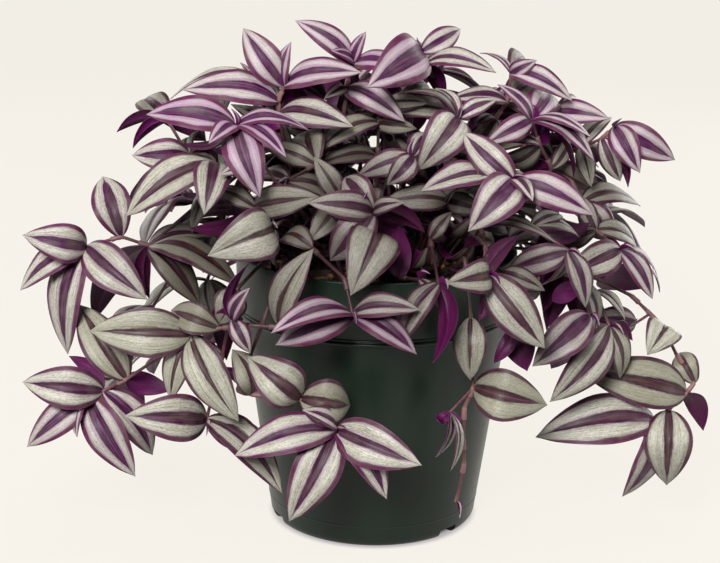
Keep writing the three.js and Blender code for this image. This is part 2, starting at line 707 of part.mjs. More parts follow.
// All stems, then all leaves, in the order of the lists
function growPlant() {
  const stems = [];
  SEEN_STEMS.forEach((row) => seenStem(row, stems));
  const draw = seededDraw(HIDDEN_SEED);
  for (const tier of HIDDEN_TIERS) {
    for (let index = 0; index < tier.count; index += 1) {
      hiddenStem(tier, index, draw, stems);
    }
  }
  const stretches = [];
  for (const stem of stems) {
    for (const [start, end, to] of stem.runs) {
      const room = stretchRoom(start, end, STEM_RADIUS + STEM_GAP);
      const from = to >= 0 ? stem.parents[to] : -2;
      stretches.push({ stem, from, to, room, box: boxOf(room) });
    }
  }
  const blades = [];
  stems.forEach((stem) => stem.leaves.forEach((leaf) => placeLeaf(stem, leaf, stretches, blades)));
  return { stems, blades };
}

// A closed geometry as a solid, joined on position alone
function solidOf(geometry) {
  const bare = geometry.index ? geometry.clone() : geometry;
  bare.deleteAttribute("normal");
  bare.deleteAttribute("uv");
  const joined = mergeVertices(bare, 1e-4);
  return new wasm.Manifold(new wasm.Mesh({
    numProp: 3,
    vertProperties: new Float32Array(joined.attributes.position.array),
    triVerts: new Uint32Array(joined.index.array),
  }));
}

function geometryOf(solid) {
  const mesh = solid.getMesh();
  const geometry = new THREE.BufferGeometry();
  geometry.setAttribute("position", new THREE.BufferAttribute(mesh.vertProperties, 3));
  geometry.setIndex(new THREE.BufferAttribute(mesh.triVerts, 1));
  return geometry;
}

// Moves every vertex of a geometry to where the rule sends it
function reshape(geometry, rule) {
  const place = geometry.attributes.position;
  for (let i = 0; i < place.count; i += 1) {
    const [x, y, z] = rule([place.getX(i), place.getY(i), place.getZ(i)]);
    place.setXYZ(i, x, y, z);
  }
  return geometry;
}

// A blade: a four-sided ball drawn out from base to tip, thick at the rib and sharp at the edges
function bladeSolid(form) {
  const spans = form.stations.length - 1;
  const ball = new THREE.SphereGeometry(1, 4, spans);
  return solidOf(reshape(ball, ([x, y, z]) => {
    const row = Math.round((Math.acos(clamp(y, -1, 1)) / Math.PI) * spans);
    const girth = Math.max(Math.hypot(x, z), 1e-9);
    if (row === 0) {
      return sub(form.base, scale(form.chord, BLADE_SINK));
    }
    const neck = row === 1 ? BLADE_NECK : 1;
    const lift = (-z / girth) * (BLADE_THICKNESS / 2);
    return bladePoint(form, form.stations[row], (neck * x) / girth, lift);
  }));
}

// A stem tube: a cylinder whose rings are carried along the points, square to the way between
function tubeSolid(points, startRadius, endRadius) {
  const spans = points.length - 1;
  const ways = points.slice(1).map((point, i) => unit(sub(point, points[i])));
  const frames = [];
  let first = [1, 0, 0];
  for (let i = 0; i <= spans; i += 1) {
    const way = unit(add(ways[Math.max(0, i - 1)], ways[Math.min(spans - 1, i)]));
    first = squared(first, way);
    frames.push({ first, second: cross(way, first), radius: blend(startRadius, endRadius, i / spans) });
  }
  const tube = new THREE.CylinderGeometry(1, 1, 1, STEM_SIDES, spans);
  return solidOf(reshape(tube, ([x, y, z]) => {
    const row = Math.round((y + 0.5) * spans);
    const { first: right, second: ahead, radius } = frames[row];
    return add(points[row], add(scale(right, z * radius), scale(ahead, x * radius)));
  }));
}

// Fills each hollow that blades close in between them, by keeping the outer shell alone
function filled(solid) {
  const shells = solid.decompose();
  return shells.reduce((kept, shell) => (shell.volume() > kept.volume() ? shell : kept));
}

// A whole leafy stem as one solid: its main run, its side stems and its blades
function stemSolid(stem, blades) {
  const main = [...stem.rise];
  const sides = [];
  stem.joints.forEach((joint, i) => {
    if (stem.parents[i] === i - 1) {
      main.push(joint);
    } else {
      sides.push([stem.joints[stem.parents[i]], joint]);
    }
  });
  let solid = tubeSolid(main, STEM_RADIUS, STEM_TIP_RADIUS);
  for (const side of sides) {
    solid = solid.add(tubeSolid(side, STEM_TIP_RADIUS, STEM_TIP_RADIUS * 0.9));
  }
  for (const blade of blades) {
    if (blade.stem === stem) {
      solid = solid.add(bladeSolid(blade.form));
    }
  }
  return filled(solid);
}

function latheSolid(outline, sides) {
  const points = outline.map(([r, z]) => new THREE.Vector2(r, z));
  const lathe = new THREE.LatheGeometry(points, sides);
  lathe.rotateX(Math.PI / 2);
  return solidOf(lathe);
}

// A round box standing on a spot
function post(x, y, low, high, radius, sides) {
  const form = new THREE.CylinderGeometry(radius, radius, high - low, sides);
  form.rotateX(Math.PI / 2);
  form.translate(x, y, (low + high) / 2);
  return solidOf(form);
}

// The pot: a tapered wall with a rounded foot, a beaded collar, a flat floor and drain notches
function potSolid() {
  const neck = POT_HEIGHT - COLLAR_HEIGHT;
  const rounding = [0, 1, 2].map((i) => {
    const turn = (Math.PI / 2) * (i / 2);
    return [
      potRadius(BASE_ROUND) - BASE_ROUND + BASE_ROUND * Math.sin(turn),
      BASE_ROUND - BASE_ROUND * Math.cos(turn),
    ];
  });
  const outline = [
    [0, 0],
    ...rounding,
    [potRadius(neck), neck],
    [COLLAR_FOOT_RADIUS + 0.5, neck + COLLAR_BEAD * 0.3],
    [COLLAR_FOOT_RADIUS + 0.5, neck + COLLAR_BEAD],
    [potRadius(neck + 2 * COLLAR_BEAD), neck + 2 * COLLAR_BEAD],
    [POT_TOP_RADIUS, POT_HEIGHT - 0.6],
    [POT_TOP_RADIUS - 0.6, POT_HEIGHT],
    [POT_TOP_RADIUS - WALL, POT_HEIGHT],
    [COLLAR_FOOT_RADIUS - WALL, neck + WALL],
    [potRadius(neck) - WALL, neck],
    [potRadius(FLOOR) - WALL, FLOOR],
    [0, FLOOR],
  ];
  let pot = latheSolid(outline, POT_SIDES);
  for (const turn of NOTCH_TURNS) {
    const cutter = new THREE.BoxGeometry(NOTCH_WIDTH, 2 * NOTCH_DEPTH, 2 * NOTCH_HEIGHT);
    cutter.translate(0, -potRadius(0), 0);
    cutter.rotateZ((turn * Math.PI) / 180);
    pot = pot.subtract(solidOf(cutter));
  }
  return pot;
}

// The potting mix fills the pot to just below its rim, with a plain hole for each stem
function soilSolid(stems) {
  const neck = POT_HEIGHT - COLLAR_HEIGHT;
  const inner = (z) => potRadius(z) - WALL - CLEARANCE;
  const outline = [
    [0, FLOOR + CLEARANCE],
    [inner(FLOOR) - 2.5, FLOOR + CLEARANCE],
    [inner(FLOOR + 3), FLOOR + 3],
    [inner(neck) - 0.1, neck],
    [COLLAR_FOOT_RADIUS - WALL - CLEARANCE, neck + WALL + CLEARANCE + 0.5],
    [inner(SOIL_LEVEL), SOIL_LEVEL - 1],
    [inner(SOIL_LEVEL) - 3, SOIL_LEVEL],
    [POT_TOP_RADIUS * 0.5, SOIL_LEVEL + SOIL_CROWN * 0.8],
    [0, SOIL_LEVEL + SOIL_CROWN],
  ];
  let soil = latheSolid(outline, POT_SIDES);
  const bore = (STEM_RADIUS + CLEARANCE) / Math.cos(Math.PI / HOLE_SIDES);
  for (const { root } of stems) {
    const low = SOIL_LEVEL - ROOT_DEPTH - CLEARANCE;
    const hole = post(root[0], root[1], low, SOIL_LEVEL + 8, bore, HOLE_SIDES);
    soil = soil.subtract(hole);
  }
  return soil;
}

function namedMesh(name, solid, look) {
  const mesh = new THREE.Mesh(geometryOf(solid), new THREE.MeshStandardMaterial(look));
  mesh.name = name;
  return mesh;
}

const POT_LOOK = { color: 0x2c362f, roughness: 0.45, metalness: 0 };
const SOIL_LOOK = { color: 0x2e1d14, roughness: 0.95, metalness: 0 };
const FOLIAGE_LOOK = { color: 0x8d8791, roughness: 0.5, metalness: 0 };

const { stems, blades } = growPlant();
const plant = new THREE.Group();
plant.add(namedMesh("pot", potSolid(), POT_LOOK));
plant.add(namedMesh("soil", soilSolid(stems), SOIL_LOOK));
for (const stem of stems) {
  plant.add(namedMesh(`stem_${stem.name}`, stemSolid(stem, blades), FOLIAGE_LOOK));
}

export default plant;
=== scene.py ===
"""Potted tradescantia with its looks: a moulded pot, loose potting mix and striped leafy stems.

Lengths in the tables are millimetres, as in the part's source, and meshes are made in metres.
"""

import functools
import itertools
import math

import bmesh
import bpy
import numpy as np
from bpy.props import FloatProperty, FloatVectorProperty, IntProperty, PointerProperty
from mathutils import Matrix, Vector, noise


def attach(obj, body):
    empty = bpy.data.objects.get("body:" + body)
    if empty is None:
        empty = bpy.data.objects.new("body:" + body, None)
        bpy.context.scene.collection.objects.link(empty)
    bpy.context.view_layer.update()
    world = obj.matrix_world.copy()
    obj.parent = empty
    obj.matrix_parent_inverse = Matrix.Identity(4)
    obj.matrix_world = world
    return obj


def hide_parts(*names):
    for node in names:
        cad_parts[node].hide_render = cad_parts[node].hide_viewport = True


bl_info = {
    "name": "Potted tradescantia",
    "version": (1, 0, 0),
    "blender": (4, 5, 0),
    "location": "View3D > Sidebar > Plant",
    "description": "Builds a potted tradescantia round its packed solids, and a stage",
    "category": "Add Mesh",
}

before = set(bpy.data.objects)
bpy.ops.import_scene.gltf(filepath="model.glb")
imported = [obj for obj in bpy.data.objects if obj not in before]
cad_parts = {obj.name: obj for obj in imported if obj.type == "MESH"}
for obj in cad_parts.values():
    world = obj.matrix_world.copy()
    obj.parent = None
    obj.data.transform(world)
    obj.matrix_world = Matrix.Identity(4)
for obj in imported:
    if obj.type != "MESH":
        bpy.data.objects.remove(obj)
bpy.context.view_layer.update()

MM = 0.001

# The repeatable draw: each state is the one before times the step, wrapped at the limit
DRAW_STEP = 16807
DRAW_LIMIT = 2147483647

# Pot and potting mix
POT_HEIGHT = 151
POT_TOP_RADIUS = 76
POT_BASE_RADIUS = 56.3
COLLAR_HEIGHT = 33.5
NECK = POT_HEIGHT - COLLAR_HEIGHT
COLLAR_FOOT_RADIUS = 75
NECK_RADIUS = 73
WALL = 1.8
FLOOR = 2.5
BASE_ROUND = 5
FOOT_LINE_HEIGHT = 12
NOTCH_WIDTH = 12.5
NOTCH_HEIGHT = 5
NOTCH_DEPTH = 8
NOTCH_TURNS = (46, -66, 170)
SOIL_LEVEL = 141
SOIL_CROWN = 2.5
ROOT_DEPTH = 15
CLEARANCE = 0.3

# Stems and blades, as in the solids
STEM_RADIUS = 1.5
WIDEST = 0.39
BLADE_STATIONS = (0, 0.06, 0.34, 0.68, 1)
SMALL_STATIONS = (0, 0.08, 0.5, 1)
SMALL_WIDTH = 10.5
BLADE_FOLD = 0.12
BASE_FULLNESS = 0.7
TIP_TAPER = 1.1
BOW_SKEW = 0.35
BLADE_GAP = 1.8
OWN_GAP = 0.6
FLOOR_GAP = 4
SOUNDINGS = (0.12, 0.24, 0.36, 0.48, 0.6, 0.72, 0.84, 0.92, 1)
STEM_GAP = 1.3
ROOM_SIDES = 6
NEARLY_PARALLEL = 1e-9
LENGTH_PER_WIDTH = 2.1
LEAST_WIDTH = 0.44
LEAST_ARCH = 0.15
MOST_ARCH = 0.36
OUTWARD_LOOK = 0.6

# How a stem rises from the mix: straight, then leaning to its first joint or over the rim
STRAIGHT_RISE = 4
LEAST_RISE = 12
RISE_SHARE = 0.45
RISE_LEAN = 0.22
LOW_JOINT = 14
RIM_PASS = 8

# The photograph's camera: where it stands, how far it looks down and leans, and its lens
EYE = np.array([-8.66, -900.0, 374.84])
CAMERA_PITCH = 0.264
CAMERA_ROLL = 0.013
FRAME_WIDTH = 720
FOCAL_PIXELS = 1714.2
SENSOR_WIDTH = 36.0
VIEW_RANGE = (0.01, 50)

# Stems that the view shows. Each has its name, how young its tip looks from 0 for old and green
# to 1 for young and pink, the spot where it leaves the potting mix, its joints [across, up,
# forward] with the joint that a side stem starts from as a fourth number, and its leaves
# [joint, tip across, tip up, width as seen, tip forward of the joint]. A width below zero is that
# of a leaf whose underside shows.
SEEN_STEMS = [
    ["left_high", 0.55, [-40, -10],
      [[-84, 184, 22], [-123, 150, 36], [-138, 155, 38], [-157, 149, 42]],
      [[3, -191, 155, 20, 14], [3, -194, 124.5, 14, 6], [3, -169.5, 88, 18, 4],
        [3, -125, 120, 22, 20], [2, -147, 188, 20, -22], [1, -74, 128.5, 14, 20],
        [1, -88, 156, 10, -14], [1, -95.5, 117, 16, 4], [0, -100, 158, 9, 12]]],
    ["left_upper", 0.65, [-30, -24],
      [[-62, 182, 44], [-87, 196, 48], [-101, 200, 40], [-112, 219, 26]],
      [[1, -135, 166.5, 19, 12], [1, -93, 168, 19, 28], [1, -134, 173, 10, -8],
        [2, -131, 199.5, 17, 0], [3, -139, 213, -6, -4], [3, -131, 204, -6, 8]]],
    ["left_front_high", 0.8, [-18, -36],
      [[-50, 180, 58], [-62, 197, 60], [-76, 216, 58]],
      [[2, -123, 222, 17, 0], [2, -63, 178, 20, 20], [2, -90, 207, 9, 22],
        [2, -49, 200, 8, 12], [2, -36.5, 214.5, 7, -10], [1, -84, 190, 10, -14]]],
    ["top_left", 0.76, [-16, -2],
      [[-48, 200, 10], [-53, 223, 14], [-53, 230, 15], [-50, 238, 16]],
      [[2, -103.5, 235.5, 17, 8], [3, -71.5, 268, 18, -6], [3, -47, 261, 8, 2],
        [3, -9.5, 246, 14, 14], [1, -13.5, 217, 16, 20], [0, -80, 214, 12, -12]]],
    ["top_middle", 0.86, [-3, -12],
      [[-20, 205, 0], [-18, 226, 0], [-17.5, 237, 2], [-14, 250, 4]],
      [[3, -44, 272.5, 13, 0], [3, -7.5, 267, 7, 0], [3, 19, 247, 11, 14], [3, -25, 257, 5, 8],
        [2, 14, 220, 15, 20], [2, -28.5, 232, 7, 14], [0, -50, 215, 12, -10]]],
    ["top_centre_right", 0.66, [8, 6],
      [[2, 222, -8], [13, 236, -6], [24, 250, -4], [22, 257, -6]],
      [[3, -6, 238, 26, 24], [3, 42.3, 269.3, 13, -12], [2, 61.5, 246.8, 10, 8],
        [2, 12.5, 250, 5, 10], [2, 34.5, 231, -9, -10], [1, 27, 238, 10, -20],
        [0, 48.5, 221.5, 12, 10]]],
    ["top_right", 0.74, [25, 10],
      [[50, 212, -4], [62, 222, 0], [68, 231, 3], [69.5, 246, 4]],
      [[3, 82.5, 253.2, 9, 6], [3, 94.8, 244, 5, 8], [3, 53, 257, 3, -10],
        [2, 36, 231.5, 9, 6], [3, 102, 232.5, 12, 8], [0, 50.5, 236, -8.5, -4],
        [1, 51, 218, 5, 12]]],
    ["right_top", 0.7, [36, -8],
      [[86, 182, 10], [93, 196, 16], [86, 208, 22], [81, 221.5, 28]],
      [[3, 90, 236, 18, -24], [3, 63, 240.5, 7, -4], [3, 57.5, 208.5, 13, 14],
        [3, 115.5, 200.5, 9, 14], [3, 113, 213, 5, 2], [2, 67, 210, 6, 8],
        [2, 88, 226, -10, -16], [1, 72, 188, -10, -12], [1, 102, 212, 8, -12]]],
    ["right_top_far", 0.65, [46, 6],
      [[93, 202, -6], [108, 207, 2], [119, 212, 10], [125.5, 218.5, 14]],
      [[3, 158.5, 201, 17, 6], [3, 140, 194, 15, 14], [2, 130, 189, 12, 0],
        [2, 134.5, 186, -6, 10], [1, 114.5, 186, 10, 12], [1, 123.5, 224, 9, -14],
        [0, 82, 214, 9, -14]]],
    ["right_top_middle", 0.65, [30, 24],
      [[76, 205, -14], [88, 218, -4], [93, 225.5, 2]],
      [[2, 122, 223, 13, 16], [2, 106, 231, 12, -22], [1, 62, 234, 10, -16],
        [0, 96, 196, 10, -8]]],
    ["right_upper_back", 0.4, [50, -8],
      [[80, 186, 0], [88, 199, 2], [104, 189, 4], [110, 177, 8]],
      [[1, 120.5, 181.5, 17, 10], [3, 129.5, 160, 9, -6], [3, 126, 156.5, 17, 14],
        [0, 97, 165, -9, -6]]],
    ["centre_right", 0.62, [32, -30],
      [[52, 168, 58], [62, 190, 64], [73, 188, 70]],
      [[2, 49.5, 160.5, 22, 22], [2, 116.5, 170.5, 17, 10], [2, 83.5, 178.5, 7, 22],
        [2, 45, 214.5, 17, -14], [1, 23.5, 182.5, 13, 12], [1, 46, 186, 5, 18]]],
    ["centre_right_back", 0.3, [22, -20],
      [[30, 165, 34], [38, 177, 42]],
      [[1, 50, 160.5, 8, 20], [1, 57, 172, 12, 8], [1, 3, 176, 14, 6], [0, 58, 190, 10, -14]]],
    ["top_centre", 0.5, [12, -24],
      [[30, 185, 14], [37, 204, 22], [42, 222, 26]],
      [[2, 21.5, 193.5, 23, 22], [1, 21, 203, 5, 16], [2, 62, 232, 9, -18],
        [0, 51, 195.5, 4, 4], [2, 30, 238, 9, -20]]],
    ["centre", 0.4, [-4, -38],
      [[-0.5, 157, 60], [-2, 170.5, 66]],
      [[0, -13.5, 124, 27, 30], [1, -37, 175, 15, 12], [1, -17.5, 189.5, 16, -18],
        [1, 14, 176, 8, 12], [1, -25, 143, 20, 2], [1, 26, 160, -9, -10]]],
    ["front_rim", 0.6, [-2, -52],
      [[4, 143, 48], [13, 134, 62], [24, 133, 75]],
      [[1, 12, 163, -13, -4], [2, 34, 118, 7, 10]]],
    ["front_right_hanging", 0.35, [24, -48],
      [[29, 156, 60], [34, 131, 88]],
      [[1, 13.5, 96.5, 13, 4], [1, 33, 85.5, -9, -2], [0, 40, 171, 8, -16]]],
    ["right_rim_hanging", 0.4, [38, -46],
      [[48, 146, 68], [52, 112, 78], [55, 72, 78], [50, 60, 78], [50, 41, 77], [51, 27, 76],
        [47, 4, 75], [42, 57, 82, 2]],
      [[2, 96, 62, 26, 8], [1, 53, 76, 17, 8], [7, 35, 30, 4, 4], [7, 44, 22, 4, 6],
        [7, 36, 51, -6, 6], [7, 46, 46, -6, -4]]],
    ["right_front", 0.2, [44, -34],
      [[56, 163, 66], [59, 152, 78], [60, 136, 86]],
      [[2, 93.2, 95, 22, 12], [2, 38.5, 131.5, 17, 20], [0, 97, 155.5, 5, 4],
        [2, 76.5, 159, -9, -8], [2, 57, 110, -8, -4]]],
    ["right_middle", 0.55, [54, -24],
      [[84, 164, 58], [104, 150, 68]],
      [[1, 71, 139.5, 15, 18], [1, 115, 118.5, 12, 4], [1, 80, 133, -12, -12],
        [0, 100, 170, 8, -16]]],
    ["right_middle_low", 0.5, [60, -14],
      [[94, 150, 38], [112, 132, 50], [117, 114, 56]],
      [[2, 87, 84.5, 20, 16], [1, 118, 100, 7, -10], [0, 92, 116, -10, 6],
        [1, 96, 122, -10, 14]]],
    ["right_low_middle", 0.35, [62, 0],
      [[100, 150, 20], [120, 128, 34], [128, 108, 42]],
      [[2, 97.8, 63.8, 22, 18], [2, 141, 101, -8, -14], [2, 136, 78, 11, -8],
        [1, 137, 112, 5, 4]]],
    ["right_rosette", 0.5, [58, 14],
      [[96, 168, 14], [118, 162, 28], [132, 151, 38]],
      [[2, 102.5, 136, 18, 16], [2, 151, 124, 11, 10], [2, 155, 128, 5, -6],
        [2, 124, 150, 12, -34], [1, 110, 180, 10, -22], [0, 84, 146, -10, -10]]],
    ["right_trailing", 0.5, [54, 28],
      [[98, 152, 2], [120.5, 134.5, 16], [139.5, 125.5, 22], [150, 115.5, 26], [158, 107, 28],
        [166, 92, 30], [177, 76, 32], [172.5, 70, 34], [163.5, 60, 38], [156.5, 54, 42],
        [142.5, 110, 32, 3]],
      [[9, 90.5, 43.5, 27, 12], [7, 113, 82.5, 27, 14], [8, 165, 15.5, 26, 12],
        [9, 141, 8, 14, 8], [9, 148, 22, -9, -8], [4, 150, 92, 20, 20],
        [6, 167.5, 93.5, 14, -16], [7, 183.5, 48.5, -11, -8], [10, 117, 112, 16, 10],
        [1, 150, 131, -15, -18], [1, 119, 146, -9, -8]]],
    ["left_low", 0.6, [-32, -53],
      [[-48, 124, 78], [-52, 105, 82], [-69, 106, 80], [-86, 104, 78], [-101, 100, 74],
        [-117, 88, 68], [-137, 74, 62], [-150, 67, 60], [-158, 63, 60], [-78, 109, 88, 2]],
      [[4, -156.5, 101.5, 25, 6], [4, -75.5, 50, 21, 14], [4, -113, 62, 14, 4],
        [7, -194.5, 71.5, 22, 6], [8, -193.5, 33.5, 17, 10], [8, -133.5, 16.5, 20, 12],
        [8, -166, 40, 5, 16], [7, -123, 29.5, 18, -6], [6, -162, 116.5, 22, -18],
        [3, -112, 114, 16, -12], [7, -168, 87, -8, -12], [6, -112, 68, -12, -8],
        [1, -34.5, 149.5, 16, 6], [9, -69.5, 141, -5, 0], [9, -69, 127, 8, 6],
        [9, -68.5, 90, 10, 6]]],
    ["left_low_middle", 0.4, [-54, -28],
      [[-76, 126, 66], [-84, 88, 66], [-93, 51, 68]],
      [[2, -138, 52.5, 24, 8], [2, -51, 8, 18, 16], [2, -62, 36, 18, -6],
        [0, -86, 106, 17, 8], [1, -112, 92, 12, -10]]],
    ["front_low", 0.55, [-45, -42],
      [[-60, 112, 70], [-76, 68, 74], [-68, 66, 80], [-41, 64, 86], [-33, 58, 88],
        [-21, 46, 90]],
      [[5, -77.5, 30, 20, 8], [5, -47, -9.5, 24, 14], [5, 8, 5, 16, 14], [5, 27, 25.5, 23, 8],
        [5, -39, 57.5, 8, 14], [3, -70, 88, 24, 2], [3, -13, 60, 24, -2], [2, -78, 92, 18, -4],
        [2, -84, 82, -7, 4]]],
    ["front_middle", 0.65, [-20, -50],
      [[-35, 150, 66], [-17, 133, 88], [-12.5, 113, 94]],
      [[2, -54.5, 95, 17, 8], [2, 24, 116, 12, 2], [2, 23, 91, 14, 12], [2, -57, 102, 6, -4]]],
    ["left_centre", 0.15, [-36, -36],
      [[-66, 172, 52], [-56, 160, 66]],
      [[1, -91, 145, 26, 24], [1, -56, 141, 8, 14], [0, -31.5, 178.5, 11, 12],
        [0, -88, 182, 10, -12]]],
    ["centre_left", 0.25, [-10, -26],
      [[-19, 177, 42], [-25, 187, 40], [-33, 196, 36], [-48, 187, 44, 2]],
      [[0, -36.5, 153.5, 15, 18], [3, -44.5, 163, 12, 18], [2, -58, 206, 12, -10],
        [3, -72, 178, 10, -8]]],
    ["centre_back", 0.15, [0, 0],
      [[0, 200, 10], [0, 219, 8], [2, 228, 6]],
      [[1, -33, 203, 12, 14], [1, 20, 216, 10, 16], [0, -32, 196, 10, 10], [2, -6, 246, 9, -14],
        [2, 26, 230, 9, -16]]],
    ["centre_small", 0.5, [4, -34],
      [[12, 178, 40], [19, 201, 46]],
      [[1, 5.2, 185.5, 13, 18], [1, -11, 189.5, 13, 0], [0, 12, 160, 9, -8], [1, 36, 212, 9, -14]]],
    ["right_rim_dark", 0.3, [52, -36],
      [[68, 138, 66], [76, 106, 72]],
      [[1, 84, 82, -17, 6], [1, 66, 86, -8, 4], [0, 92, 128, 10, -10]]],
]

# Stems round the back, placed by a rule in three tiers. Each tier has its name, how many stems,
# their first and last turn in degrees anticlockwise from +X, how far out they start and end, how
# high they start and end, how much they arch up, and how many joints they have.
HIDDEN_TIERS = (
    ("back_low", 6, 38, 174, 57, 106, 159, 72, 30, 4),
    ("back_middle", 5, 20, 160, 38, 98, 159, 160, 40, 4),
    ("back_high", 4, 25, 155, 19, 56, 160, 232, 14, 3),
)
HIDDEN_SEED = 20
HIDDEN_LENGTH = 47
HIDDEN_WIDTH = 20
HIDDEN_SPREAD = 1.15
HIDDEN_LEAN = 0.35
SIDE_REACH = 0.3
REACH_EASE = 0.8
TURN_SCATTER = 5
RING_SCATTER = 3
SWAY = 8
ZIGZAG = 2

# How far a hidden stem and its leaves may differ from the even ones
REACH_RANGE = (0.9, 1.1)
SIDE_RANGE = (0.7, 1.3)
FAN_SCATTER = 0.5
LENGTH_RANGE = (0.8, 1.2)
WIDTH_RANGE = (0.85, 1.15)
HIDDEN_DIPS = (0.1, 0.6)

# Old leaves low on the stems and behind the joints
INNER_PLACES = (0.2, 0.45, 0.7)
INNER_LENGTHS = (28, 42)
INNER_SLIMNESS = (0.44, 0.5)
INNER_DIPS = (-0.2, 0.9)
INNER_REACH = 88
FRONT_DEPTH = -20
FRONT_FLOOR = 165
BACK_REACH = 118
BACK_START = 30
BACK_MARGIN = 0.3
TURNED_SHARE = 0.3

# More leaves that the view shows behind others, as rows like those of the stems above
BEHIND_LEAVES = {
    "left_high": [[1, -154.5, 108, -17, -16], [1, -124, 120.5, -8, 6],
                  [1, -100.5, 138.5, -13, 16]],
    "right_middle_low": [[0, 94, 106, -17, -6], [0, 112, 104, -15, -14]],
    "right_rosette": [[1, 98, 155, 13, -12]],
    "left_low_middle": [[0, -82, 86, -14, -8]],
    "top_left": [[0, -78, 228, 12, -16], [1, -60, 214, -10, -12]],
    "top_centre": [[0, 8, 214, 13, -14]],
    "centre_left": [[0, -34, 200, 12, -16]],
}

# The shifts of a stem and the shapes of a leaf that are tried in turn
STEM_SHIFTS = (0, 4, -4, 8, -8, 12, -12, 16, -16)
STEM_ROOM = 4.5
RUN_POINTS = 9
LEAF_SHAPES = tuple(itertools.product(
    (1, 0.86, 0.72, 0.58), (0, 0.35, -0.35, 0.7, -0.7), (0, 6, -6, 12, -12, 18, -18, 26, -26)
))
INNER_SHAPES = tuple(itertools.product((1, 0.75), (0, 0.6), (0, 12, -12)))

# How young the tips of hidden stems look, and how much older each leaf is than the next one out
HIDDEN_YOUTH = 0.4
YOUTH_STEP = 0.2
YOUTH_SCATTER = 0.15
LEAST_YOUTH = 0.05

# How deep in the foliage painted shade darkens leaves and stems, and the least painted shade of
# inner leaves
FOLIAGE_MIDDLE = (0, 0, 150)
FOLIAGE_REACH = (150, 120, 80)
SHADE_START = 1.1
SHADE_FADE = 0.4
SHADE_RANGE = (0.7, 1)
BACK_SHADE = 0.6

# How a fine blade differs from a plain one
COLUMN_POWER = 1.3
FINE_FULLNESS = 0.64
FINE_TAPER = 0.93
SECTION_RISE = 0.5
SECTION_DROP = 0.42
BASE_WIDTH = 0.9
BASE_FADE = 12
TIP_WIDTH = 0.12
TIP_PINCH = 0.3
PINCH_LENGTH = 0.06
RIB_THICKNESS = 0.5
RIM_THICKNESS = 0.3
RIB_HEIGHT = 0.5
RIB_REACH = 0.02
FULL_WIDTH = 20
WAVE_HEIGHT = 0.4
WAVE_OFFSET = 1.9
TWIST_START = 0.3
TIP_DROOP = 1.1
DROOP_START = 0.75
LEAF_SHARP = 70

# The rolled young leaf at a stem's tip
BUD_COLUMNS = 6
BUD_ROWS = 10
BUD_LENGTHS = (8, 13)
BUD_SLIMNESS = 0.4
BUD_BASE = 0.35
BUD_THICKNESS = 0.18
BUD_FOLD = math.radians(62)
BUD_YOUTH = 0.3
BUD_LEAST_YOUTH = 0.4
BUD_SKY = 0.5
BUD_ONWARD = 0.8
BUD_UPWARD = 0.7
OFF_AXIS = np.array([0.01, 0.02, 0.03])

# Stalks
STALK_SIDES = 8
STALK_RADIUS = 1.1
STALK_TIP_RADIUS = 0.8
SIDE_TIP_RADIUS = 0.9 * STALK_TIP_RADIUS
BEND_EASE = 2.2
BEND_SHARE = 0.4
BEND_STEPS = 4
RING_SPACING = 5
NODE_SWELLING = 0.32
NODE_SPREAD = 1.7
PALE_SPREAD = 3.2
SHEATH_LENGTH = 5.5
SHEATH_RINGS = ((-0.6, 0.1), (0.4, 0.5), (2.6, 0.42), (5.0, 0.6), (5.4, 0.5), (5.5, -0.2))

# Finer parts of the pot and of the mix, whose lumps each have a spacing and a height
HUB_RADIUS = 6
UNDER_HOLLOW = 1.6
POT_SHARP = 40
SOIL_RINGS = 25
LUMPS = ((9, 1.3), (3.1, 0.9))
SOIL_SHARP = 60

# Loose bits on the mix: clods, bark chips and white grains, with a range for each kind
CLOD, CHIP, GRAIN = 0, 1, 2
GRAIN_SHARE = 0.09
CHIP_SHARE = 0.5
BIT_SIZES = ((1.6, 5.2), (1.6, 5.2), (1.4, 2.6))
BIT_FLATNESS = ((0.7, 1), (0.35, 0.6), (0.7, 1))
BIT_LENGTHS = ((0.9, 1.2), (1.2, 2.1), (0.9, 1.2))
BIT_LIFTS = (-0.1, 0.35)
BIT_MARGIN = 5
BIT_TILT = 0.6
BIT_NARROWNESS = 0.8
BIT_DENTS = 0.45
DENT_SCALE = 1.3

# How deep the relief of each material goes, in metres
BLADE_RELIEF = 0.0004
STALK_RELIEF = 0.0003
POT_RELIEF = 0.00012
SOIL_RELIEF = 0.0009

# The floor and the backdrop that it curves up into, in metres
FLOOR_HALF_WIDTH = 6.0
FLOOR_HALF_LENGTH = 4.0
FLOOR_FRONT = -3.0
CURVE_START = 2.0
CURVE_RUN = 2.0
CURVE_RADIUS = 1.3

# Where the floor's painted shadow is dark under the pot and dim at its foot, past the foot's radius
UNDER_REACH = (-8, -3)
CONTACT_REACH = (-3, 3)

# Studio lights: name, place, width and height in metres, and power in watts
LIGHTS = (
    ("key_light", (-0.4, -1.5, 1.1), (0.6, 0.6), 36),
    ("top_light", (0.2, -0.1, 1.8), (0.8, 0.8), 8),
    ("left_back_light", (-0.95, 1.1, 0.35), (0.4, 1.2), 5),
    ("right_back_light", (0.95, 1.1, 0.35), (0.6, 1.2), 10),
    ("left_light", (-1.4, -0.1, 0.5), (0.4, 1.4), 5),
    ("right_light", (1.4, -0.2, 0.5), (0.4, 1.4), 6),
)
LIGHT_TARGET = (0, 0, 0.13)

